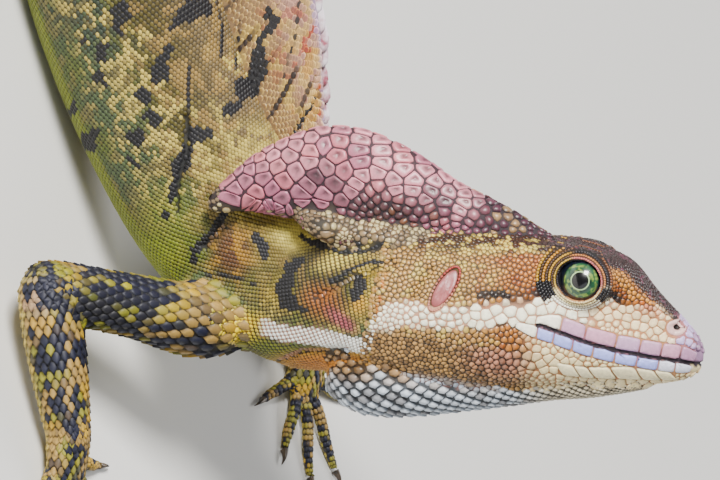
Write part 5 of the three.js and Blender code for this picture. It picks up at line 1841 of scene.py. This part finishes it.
trunk_coat.piece("body_scales", SCALE_HORN, "body_scales")
tail_coat.piece("tail_scales", SCALE_HORN, "tail_scales")
limb_coat.piece("limb_scales", SCALE_HORN, "limb_scales")
head_coat.piece("head_scales", PLATE_HORN, "head_scales")
crest_coat.piece("head_crest_plates", PLATE_HORN, "head_crest_plates")
throat_coat.piece("throat_scales", PLATE_HORN, "throat_scales")

# %% [markdown]
# ## Crests of back and tail
# The crests are thin sails of skin held up by bony rays. The membrane is thickest at its root,
# where it spreads into the back, and each ray stands out as a low ridge. Both faces have large
# long scales, and pointed ones stand along the free edge.

# %% The membranes
SAIL = [[2.45, 4], [2.8, 13], [3.3, 18], [3.9, 21], [4.6, 25], [5.3, 29], [6.1, 32], [6.9, 32], [7.7, 27], [8.5, 17], [9.2, 5]]
TAIL_SAIL = [[0.75, 2], [1.15, 10], [1.6, 17], [2.1, 20], [2.7, 18], [3.3, 12], [3.9, 5.5], [4.4, 1.6]]
SAIL_LEAN = math.radians(27)
SAIL_RAYS = 17
TAIL_RAYS = 11


def back_root(share):
    t, tall = through(SAIL, share * (len(SAIL) - 1)).T
    centre, forward, up, left, sizes = trunk_frames(t)
    return centre + up * (sizes[:, 1:2] - COAT_DEPTH), forward, up, left, tall


def tail_root(share):
    t, tall = through(TAIL_SAIL, share * (len(TAIL_SAIL) - 1)).T
    centre, forward, left, high, _ = tail_frames(t)
    return centre + UP * (high - COAT_DEPTH)[:, None], forward, np.repeat(UP[None], len(t), 0), left, tall


def crest_at(root_of, share, rise, side, rays, sunk=2.0):
    """A place on a crest's face: share along it, rise from root to edge; and the half thickness."""
    root, forward, up, left, tall = root_of(share)
    height = -sunk + rise * (tall + sunk)
    way = up * math.cos(SAIL_LEAN) - forward * math.sin(SAIL_LEAN)
    bend = smooth((height + sunk) / 3)[:, None]
    foot = root + up * np.minimum(height, 0)[:, None]
    at = foot + way * np.maximum(height, 0)[:, None] * bend + up * (np.maximum(height, 0)[:, None] * (1 - bend))
    ray = np.abs(((share * rays) % 1) - 0.5) * 2
    half = 0.3 + 0.34 * smooth((ray - 0.72) / 0.28) * (1 - 0.5 * rise) + 1.5 * np.exp(-np.maximum(height, 0) / 2.2)
    half = half * np.clip(tall / 6, 0.35, 1)
    return at + left * (side * half)[:, None], left * side, way, forward, height, ray


def crest_tone(p, rise, ray, tall):
    """Gold and tan at the crest's root, orange-red scales above, and black lines along rays."""
    pixels = seen_at(p)
    fine = noise(p, 1.5, 41)
    lumps = noise(p, 7, 42)
    tone = np.repeat(lerp(lerp(BEIGE, TAN, 0.4), BROWN, 0.25)[None], len(p), 0)
    tone = paint(tone, lerp(BEIGE, PINK, 0.5), smooth((rise - 0.3) / 0.4) * 0.75)
    red = smooth((fine - 0.56) / 0.06) * smooth((rise - 0.12) / 0.2)
    tone = paint(tone, lerp(RUST, ORANGE, 0.5), red * (0.35 + 0.55 * smooth((pixels[:, 0] - 280) / 30)))
    tone = paint(tone, lerp(STRAW, TAN, 0.4), smooth((noise(p, 2.2, 43) - 0.6) / 0.1) * 0.6)
    along_rays = smooth((ray - 0.86) / 0.1) * smooth((lumps - 0.5) / 0.15) * smooth((0.9 - rise) / 0.2)
    tone = paint(tone, lerp(INK, BROWN, 0.3), along_rays)
    tone = paint(tone, INK, marks_and_painted_shade(p, pixels) * smooth((0.95 - rise) / 0.1))
    return paint(tone, LILAC, smooth((rise - 0.9) / 0.08) * 0.7)


def membrane(name, root_of, rays, replaced):
    columns, rows = rays * 14, 22
    share, rise = np.meshgrid(np.linspace(0, 1, columns), np.linspace(0, 1, rows), indexing="ij")
    sheets, tones = [], []
    for side in (1, -1):
        at, _, _, _, _, ray = crest_at(root_of, share.ravel(), rise.ravel(), side, rays)
        sheets.append(at)
        tones.append(crest_tone(at, rise.ravel(), ray, None) * 0.5)
    i, j = np.meshgrid(np.arange(columns - 1), np.arange(rows - 1), indexing="ij")
    a, b, c, d = (v.ravel() for v in (i * rows + j, (i + 1) * rows + j, i * rows + j + 1, (i + 1) * rows + j + 1))
    back = columns * rows
    front_faces = np.vstack([np.stack([a, c, b], 1), np.stack([b, c, d], 1)])
    rim = [k * rows for k in range(columns)] + [(columns - 1) * rows + k for k in range(1, rows)]
    rim += [k * rows + rows - 1 for k in range(columns - 2, -1, -1)] + list(range(rows - 2, 0, -1))
    rim = np.array(rim)
    following = np.roll(rim, -1)
    band = np.vstack([np.stack([rim, following, back + rim], 1), np.stack([following, back + following, back + rim], 1)])
    faces = np.vstack([front_faces, front_faces[:, ::-1] + back, band])
    points = np.vstack(sheets)
    corners = points[faces]
    if np.einsum("ij,ij->i", corners[:, 0], np.cross(corners[:, 1], corners[:, 2])).sum() < 0:
        faces = faces[:, ::-1]
    made = mesh_object(name, points, faces)
    finish_piece(made, SOFT_SKIN, np.vstack(tones))
    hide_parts(replaced)
    return made


back_membrane = membrane("back_crest_membrane", back_root, SAIL_RAYS, "back_crest")
tail_membrane = membrane("tail_crest_membrane", tail_root, TAIL_RAYS, "tail_crest")

# %% Scales on both faces of the crests
crest_scales = Coat()


def lay_crest(root_of, rays, columns, step, part):
    roots = []
    for column in range(columns):
        share = (column + 0.5) / columns
        tall = root_of(np.array([share]))[4][0]
        count = max(1, int(tall / step))
        for k in range(count):
            roots.append((share, (k + 0.5 * (column % 2) + 0.3) / count))
    share, rise = np.array(roots).T
    keep = rise < 0.98
    share, rise = share[keep], rise[keep]
    for side in (1, -1):
        root, normal, way, forward, height, ray = crest_at(root_of, share, rise * 0.94 + 0.06, side, rays)
        keep = height > 0.2
        root, normal, way, forward, ray = (v[keep] for v in (root, normal, way, forward, ray))
        lie = tangent(way - 0.25 * forward, normal)
        wide = rng.uniform(1.0, 1.25, len(root))
        long = rng.uniform(1.3, 1.8, len(root))
        edge = spread_out(rim_of(wide, long), normal, lie)
        tone = crest_tone(root, rise[keep], ray, None) * rng.uniform(0.85, 1.12, (len(root), 1))
        pale = lerp(tone * 0.8, STRAW, 0.45 * smooth((tone.mean(axis=1) - 0.05) / 0.1)[:, None])
        unwrap = np.stack([0.02 + 0.96 * share[keep], (part + (1 - side) / 4 + rise[keep] * 0.48) / 2], 1)
        crest_scales.add(root, normal, lie, edge, rng.uniform(0.05, 0.09, len(root)), tone, pale, unwrap,
                         0.6, ((0.82, 0.9, 1.05), (0.5, 1.0, 0.72)), 0.65)


lay_crest(back_root, SAIL_RAYS, 146, 1.2, 0)
lay_crest(tail_root, TAIL_RAYS, 84, 1.3, 1)
crest_scales.piece("crest_scales", PLATE_HORN, "crest_membrane")

# %% [markdown]
# The pointed scales of the free edge are all one shape in many sizes, so Geometry Nodes set one
# little blade on every point of the edge line and turn it the way the rays lean.

# %% Points along the edges, and a blade for each
BLADE = {"long": 4.4, "wide": 3.3, "thick": 0.5}


def horn_edge(name):
    material = bpy.data.materials.new(name)
    material.use_nodes = True
    tree = material.node_tree
    shader = tree.nodes["Principled BSDF"]
    shader.inputs["Roughness"].default_value = 0.32
    shader.inputs["IOR"].default_value = 1.54
    shader.inputs["Coat Weight"].default_value = 0.3
    place = node(tree, "ShaderNodeTexCoord")
    veins = node(tree, "ShaderNodeTexNoise", {"Scale": 1 / (2.2 * MM), "Detail": 5.0}, Vector=place.outputs["Object"])
    ramp = node(tree, "ShaderNodeValToRGB", Fac=veins.outputs["Fac"])
    ramp.color_ramp.elements[0].position = 0.35
    ramp.color_ramp.elements[0].color = (*lerp(MAUVE, ROSE, 0.3), 1)
    ramp.color_ramp.elements[1].position = 0.6
    ramp.color_ramp.elements[1].color = (*lerp(LILAC, CHALK, 0.5), 1)
    tree.links.new(ramp.outputs["Color"], shader.inputs["Base Color"])
    relief = node(tree, "ShaderNodeBump", {"Strength": 0.4, "Distance": 0.06 * MM}, Height=veins.outputs["Fac"])
    tree.links.new(relief.outputs["Normal"], shader.inputs["Normal"])
    return material


EDGE_HORN = horn_edge("clear_horn_of_the_crest_edge")


def blade_mesh():
    """A leaf-shaped scale along x, one millimetre for one unit of its length."""
    rows = [(-0.35, 0.6), (-0.1, 1.0), (0.25, 0.95), (0.6, 0.62), (0.85, 0.28), (1.0, 0.02)]
    rings = []
    for x, wide in rows:
        angle = np.linspace(0, 2 * np.pi, 8, endpoint=False)
        ring = [[x * BLADE["long"], wide * BLADE["wide"] / 2 * math.cos(a), wide * BLADE["thick"] / 2 * math.sin(a)] for a in angle]
        rings.append(ring)
    points, faces = shell(np.array(rings))
    mesh = bpy.data.meshes.new("edge_blade")
    mesh.from_pydata((points * MM).tolist(), [], faces.tolist())
    mesh.polygons.foreach_set("use_smooth", np.ones(len(mesh.polygons), bool))
    return bpy.data.objects.new("edge_blade", mesh)


def edge_tree(blade, material):
    """Geometry Nodes that set a blade on each point, by the attributes way, across and size."""
    tree = bpy.data.node_groups.new("crest_edge", "GeometryNodeTree")
    tree.interface.new_socket("Geometry", in_out="INPUT", socket_type="NodeSocketGeometry")
    size = tree.interface.new_socket("Blade Size", in_out="INPUT", socket_type="NodeSocketFloat")
    size.default_value = 1.0
    tree.interface.new_socket("Geometry", in_out="OUTPUT", socket_type="NodeSocketGeometry")
    entry = node(tree, "NodeGroupInput")
    leave = node(tree, "NodeGroupOutput")
    named = {}
    for key, kind in (("way", "FLOAT_VECTOR"), ("across", "FLOAT_VECTOR"), ("size", "FLOAT")):
        named[key] = node(tree, "GeometryNodeInputNamedAttribute", {"data_type": kind})
        named[key].inputs["Name"].default_value = key
    lean = node(tree, "FunctionNodeAlignRotationToVector", {"axis": "X"}, Vector=named["way"].outputs["Attribute"])
    twist = node(tree, "FunctionNodeAlignRotationToVector", {"axis": "Z", "pivot_axis": "X"})
    tree.links.new(lean.outputs["Rotation"], twist.inputs["Rotation"])
    tree.links.new(named["across"].outputs["Attribute"], twist.inputs["Vector"])
    scale = node(tree, "ShaderNodeMath", {"operation": "MULTIPLY"})
    tree.links.new(named["size"].outputs["Attribute"], scale.inputs[0])
    tree.links.new(entry.outputs["Blade Size"], scale.inputs[1])
    shape = node(tree, "GeometryNodeObjectInfo")
    shape.inputs["Object"].default_value = blade
    spread = node(tree, "GeometryNodeInstanceOnPoints", Points=entry.outputs["Geometry"], Instance=shape.outputs["Geometry"])
    tree.links.new(twist.outputs["Rotation"], spread.inputs["Rotation"])
    tree.links.new(scale.outputs["Value"], spread.inputs["Scale"])
    real = node(tree, "GeometryNodeRealizeInstances", Geometry=spread.outputs["Instances"])
    finish = node(tree, "GeometryNodeSetMaterial", Geometry=real.outputs["Geometry"])
    finish.inputs["Material"].default_value = material
    tree.links.new(finish.outputs["Geometry"], leave.inputs["Geometry"])
    return tree, size.identifier


blade = blade_mesh()
edge_nodes, size_socket = edge_tree(blade, EDGE_HORN)


def lay_edge(name, root_of, rays, spacing):
    share = np.linspace(0.01, 0.995, 600)
    line = crest_at(root_of, share, np.full(600, 0.97), 0, rays)[0]
    run = np.concatenate([[0], np.cumsum(np.linalg.norm(np.diff(line, axis=0), axis=1))])
    stops = np.arange(0, run[-1], spacing)
    share = np.interp(stops + rng.uniform(-0.2, 0.2, len(stops)) * spacing, run, share)
    at, _, way, forward, _, _ = crest_at(root_of, share, np.full(len(share), 0.975), 0, rays)
    tall = root_of(share)[4]
    lean = unit(way - forward * rng.uniform(0.2, 0.7, (len(share), 1)))
    left = root_of(share)[3]
    mesh = bpy.data.meshes.new(name)
    mesh.from_pydata(((at + SHIFT) * MM).tolist(), [], [])
    for key, kind, values in (("way", "FLOAT_VECTOR", lean), ("across", "FLOAT_VECTOR", left)):
        mesh.attributes.new(key, kind, "POINT").data.foreach_set("vector", values.astype(np.float32).ravel())
    sizes = rng.uniform(0.78, 1.05, len(share)) * np.clip(tall / 14, 0.35, 1)
    mesh.attributes.new("size", "FLOAT", "POINT").data.foreach_set("value", sizes.astype(np.float32))
    made = bpy.data.objects.new(name, mesh)
    bpy.context.scene.collection.objects.link(made)
    modifier = made.modifiers.new("blades", "NODES")
    modifier.node_group = edge_nodes
    modifier[size_socket] = 1.0
    apply_modifiers(made)
    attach(made, "root")
    print(name, "has", len(share), "blades")


lay_edge("back_crest_edge", back_root, SAIL_RAYS, 3.2)
lay_edge("tail_crest_edge", tail_root, TAIL_RAYS, 2.8)

# %% [markdown]
# ## Eyes
# The eye is a wet ball: a black pupil with a thin pale rim, a green iris flecked with gold, and a
# dark ring where it goes under the lids. The wet film is a clear coat over the shader.

# %% Make the eyes
PUPIL, PALE_RING, IRIS = 1.45, 1.66, 2.75


def wet_eye():
    material = bpy.data.materials.new("wet_eye")
    material.use_nodes = True
    tree = material.node_tree
    shader = tree.nodes["Principled BSDF"]
    shader.inputs["Roughness"].default_value = 0.3
    shader.inputs["IOR"].default_value = 1.376
    shader.inputs["Coat Weight"].default_value = 1.0
    shader.inputs["Coat Roughness"].default_value = 0.02
    tone = node(tree, "ShaderNodeVertexColor", {"layer_name": "Tone"})
    place = node(tree, "ShaderNodeTexCoord")
    grain = node(tree, "ShaderNodeTexNoise", {"Scale": 1 / (0.25 * MM), "Detail": 3.0}, Vector=place.outputs["Object"])
    spread = node(tree, "ShaderNodeMapRange", {"To Min": 0.75, "To Max": 1.25}, Value=grain.outputs["Fac"])
    mixed = node(tree, "ShaderNodeVectorMath", {"operation": "SCALE"}, Vector=tone.outputs["Color"], Scale=spread.outputs["Result"])
    tree.links.new(mixed.outputs["Vector"], shader.inputs["Base Color"])
    return material


WET_EYE = wet_eye()
GAZE = np.array([-0.10, 1.0, 0.11])


def make_eye(name, side):
    gaze = unit(GAZE * [1, side, 1])
    across = unit(np.cross(gaze, [0, 0, 1.0]))
    high = np.cross(across, gaze)
    polar = np.concatenate([np.linspace(0.01, 1.2, 90), np.linspace(1.2, np.pi - 0.02, 24)[1:]])
    around = np.linspace(0, 2 * np.pi, 96, endpoint=False)
    p, a = np.meshgrid(polar, around, indexing="ij")
    way = np.cos(p)[..., None] * gaze + np.sin(p)[..., None] * (np.cos(a)[..., None] * across + np.sin(a)[..., None] * high)
    bulge = EYE_RADIUS * (1 + 0.02 * np.exp(-((p / 0.6) ** 2)))[..., None]
    local = way * bulge
    grid = in_head(local + EYE_AT * [1, side, 1])
    points, faces = shell(grid)
    off = EYE_RADIUS * np.sin(np.minimum(np.append(p.ravel(), [0, np.pi]), np.pi / 2))
    spoke = np.append(a.ravel(), [0, 0])
    streak = noise(np.stack([np.cos(spoke) * 9, np.sin(spoke) * 9, off * 0.8], 1), 1.0, 51)
    fleck = noise(points, 0.45, 52)
    green = lerp(linear("#10291d"), linear("#275735"), smooth((off - PALE_RING) / 0.9)[:, None])
    tone = paint(green, linear("#7f9a3f"), smooth((fleck - 0.54) / 0.1) * 0.75)
    tone = paint(tone, linear("#103a2a"), smooth((streak - 0.55) / 0.15) * 0.5)
    tone = paint(tone, linear("#0c1422"), smooth((off - IRIS) / 0.35))
    tone = paint(tone, linear("#a8c98e"), smooth((PALE_RING - off) / 0.08))
    tone = paint(tone, linear("#020204"), smooth((PUPIL - off) / 0.08 + 0.5))
    made = mesh_object(name + "_ball", points, faces)
    finish_piece(made, WET_EYE, tone)
    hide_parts(name)


make_eye("eye_right", -1)
make_eye("eye_left", 1)

# %% [markdown]
# ## Claws
# A claw is a curved cone of hard dark horn, thick at the toe and needle sharp. Every one follows
# the place of its solid.

# %% Make the claws
def horn_claw():
    material = bpy.data.materials.new("claw_horn")
    material.use_nodes = True
    tree = material.node_tree
    shader = tree.nodes["Principled BSDF"]
    shader.inputs["Roughness"].default_value = 0.35
    shader.inputs["IOR"].default_value = 1.54
    place = node(tree, "ShaderNodeTexCoord")
    layers = node(tree, "ShaderNodeTexNoise", {"Scale": 1 / (1.2 * MM), "Detail": 4.0}, Vector=place.outputs["Object"])
    ramp = node(tree, "ShaderNodeValToRGB", Fac=layers.outputs["Fac"])
    ramp.color_ramp.elements[0].position = 0.35
    ramp.color_ramp.elements[0].color = (*linear("#1d1712"), 1)
    ramp.color_ramp.elements[1].position = 0.7
    ramp.color_ramp.elements[1].color = (*linear("#5a4a38"), 1)
    tree.links.new(ramp.outputs["Color"], shader.inputs["Base Color"])
    relief = node(tree, "ShaderNodeBump", {"Strength": 0.3, "Distance": 0.05 * MM}, Height=layers.outputs["Fac"])
    tree.links.new(relief.outputs["Normal"], shader.inputs["Normal"])
    return material


CLAW_HORN = horn_claw()
claw_parts, claw_nodes = [], []
for name, (segments, digits) in limbs.items():
    limb_kind, side_name = name.split("_")
    paw = "hand" if limb_kind == "foreleg" else "foot"
    for number, (rows, out) in enumerate(digits, 1):
        tip = np.array(rows[-1][:3])
        path = []
        for share in np.linspace(0, 1, 7):
            run = (share * 1.12 - 0.12) * CLAW["length"] + CLAW["start"]
            drop = tip[2] + 0.35 * math.sin(share * 2.2) - (tip[2] - 0.25) * share**2.6
            girth = CLAW["radius"] * (1.25 - 1.1 * share)
            path.append([*(tip[:2] + out * run), drop, girth * 0.8, girth * 1.1])
        claw_parts.append(shell(limb_grid(path, 12, 3)))
        claw_nodes.append(f"claw_{paw}_{side_name}_{number}")
claw_points, claw_faces = merged(claw_parts)
claw_points[:, 2] = np.maximum(claw_points[:, 2], FLOOR + 0.01)
claws = mesh_object("claws", claw_points, claw_faces)
finish_piece(claws, CLAW_HORN)
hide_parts(*claw_nodes)

# %% [markdown]
# ## Colour and lighten the skin
# Each point of the skin takes the colour of the scale nearest to it, darkened as skin between
# scales is. The mesh is then thinned, since the scales hide most of it.

# %% Finish the skin
SKIN_TRIANGLES = 190000
skin.data.vertices.foreach_set("co", ((points + SHIFT) * MM).astype(np.float32).ravel())
skin.data.update()
thin = skin.modifiers.new("thin", "DECIMATE")
thin.ratio = min(1.0, SKIN_TRIANGLES / len(faces))
apply_modifiers(skin)
skin_points, _ = read_mesh(skin.data)
roots, tones = np.vstack(all_roots), np.vstack(all_tones)
root_tree = tree_of(roots)
close = np.array([root_tree.find(p)[1] for p in skin_points.tolist()])
skin_tone = seam_of(tones[close], kind_at(skin_points))
socket = eye_place(to_head(skin_points)) < 1.0
skin_tone[socket] = INK
# The line between the lips is dark, and the snout's very tip is as pale as the plates round it
h = to_head(skin_points)
mouth_line = (np.abs(h[:, 2] - mouth_height(h[:, 0])) < 0.5) & (h[:, 0] > MOUTH[0, 0])
skin_tip = h[:, 0] > LOWER_LIP[-1] - 0.3
skin_tone[skin_tip] = 0.75 * tones[close][skin_tip]
skin_tone[mouth_line] = lerp(INK, PLUM, 0.6)
finish_piece(skin, SOFT_SKIN, skin_tone)
FLESH = ["head", "throat_pouch", "neck", "chest", "belly", "pelvis", "head_crest"]
FLESH += [f"tail_{k}" for k in range(1, 6)]
for side_name in ("right", "left"):
    FLESH += [f"{part}_{side_name}" for part in ("upper_arm", "forearm", "hand", "thigh", "shin", "foot")]
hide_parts(*FLESH)
print("the skin has", len(skin.data.polygons), "faces and", len(roots), "scales lie on it")

# %% [markdown]
# ## Floor and light
# A plain pale floor, a large soft key light from above and behind the shoulder, as in the
# photograph, and weaker lights that open the shadows.

# %% Set the floor and the lights
def matt_floor():
    material = bpy.data.materials.new("matt_floor_paint")
    material.use_nodes = True
    tree = material.node_tree
    shader = tree.nodes["Principled BSDF"]
    shader.inputs["Roughness"].default_value = 0.9
    place = node(tree, "ShaderNodeTexCoord")
    cloud = node(tree, "ShaderNodeTexNoise", {"Scale": 6.0, "Detail": 2.0}, Vector=place.outputs["Object"])
    ramp = node(tree, "ShaderNodeValToRGB", Fac=cloud.outputs["Fac"])
    ramp.color_ramp.elements[0].color = (*linear("#d3d2cf"), 1)
    ramp.color_ramp.elements[1].color = (*linear("#dcdbd8"), 1)
    tree.links.new(ramp.outputs["Color"], shader.inputs["Base Color"])
    return material


FLOOR_HALF = 6.0
floor_mesh = bpy.data.meshes.new("floor")
floor_mesh.from_pydata([(x * FLOOR_HALF, y * FLOOR_HALF, 0) for x, y in ((-1, -1), (1, -1), (1, 1), (-1, 1))], [], [(0, 1, 2, 3)])
floor = bpy.data.objects.new("floor", floor_mesh)
bpy.context.scene.collection.objects.link(floor)
floor_mesh.materials.append(matt_floor())

HEAD_PLACE = Vector((HEAD_AT + SHIFT) * MM)


def soft_light(name, way, distance, size, watts, colour=(1, 1, 1)):
    data = bpy.data.lights.new(name, "AREA")
    data.shape = "SQUARE"
    data.size = size
    data.energy = watts
    data.color = colour
    made = bpy.data.objects.new(name, data)
    direction = Vector(way).normalized()
    made.location = HEAD_PLACE + direction * distance
    made.rotation_mode = "QUATERNION"
    made.rotation_quaternion = direction.to_track_quat("Z", "Y")
    bpy.context.scene.collection.objects.link(made)


soft_light("key", (-0.75, -0.75, 1.0), 0.9, 0.28, 22, (1, 0.98, 0.94))
soft_light("fill", (0.9, -1.0, 0.5), 1.1, 0.9, 3, (0.92, 0.96, 1))
soft_light("rim", (0.2, 1.0, 0.9), 1.1, 0.6, 8)
world = bpy.data.worlds.new("studio")
bpy.context.scene.world = world
world.use_nodes = True
world.node_tree.nodes["Background"].inputs["Color"].default_value = (0.8, 0.82, 0.86, 1)
world.node_tree.nodes["Background"].inputs["Strength"].default_value = 0.19
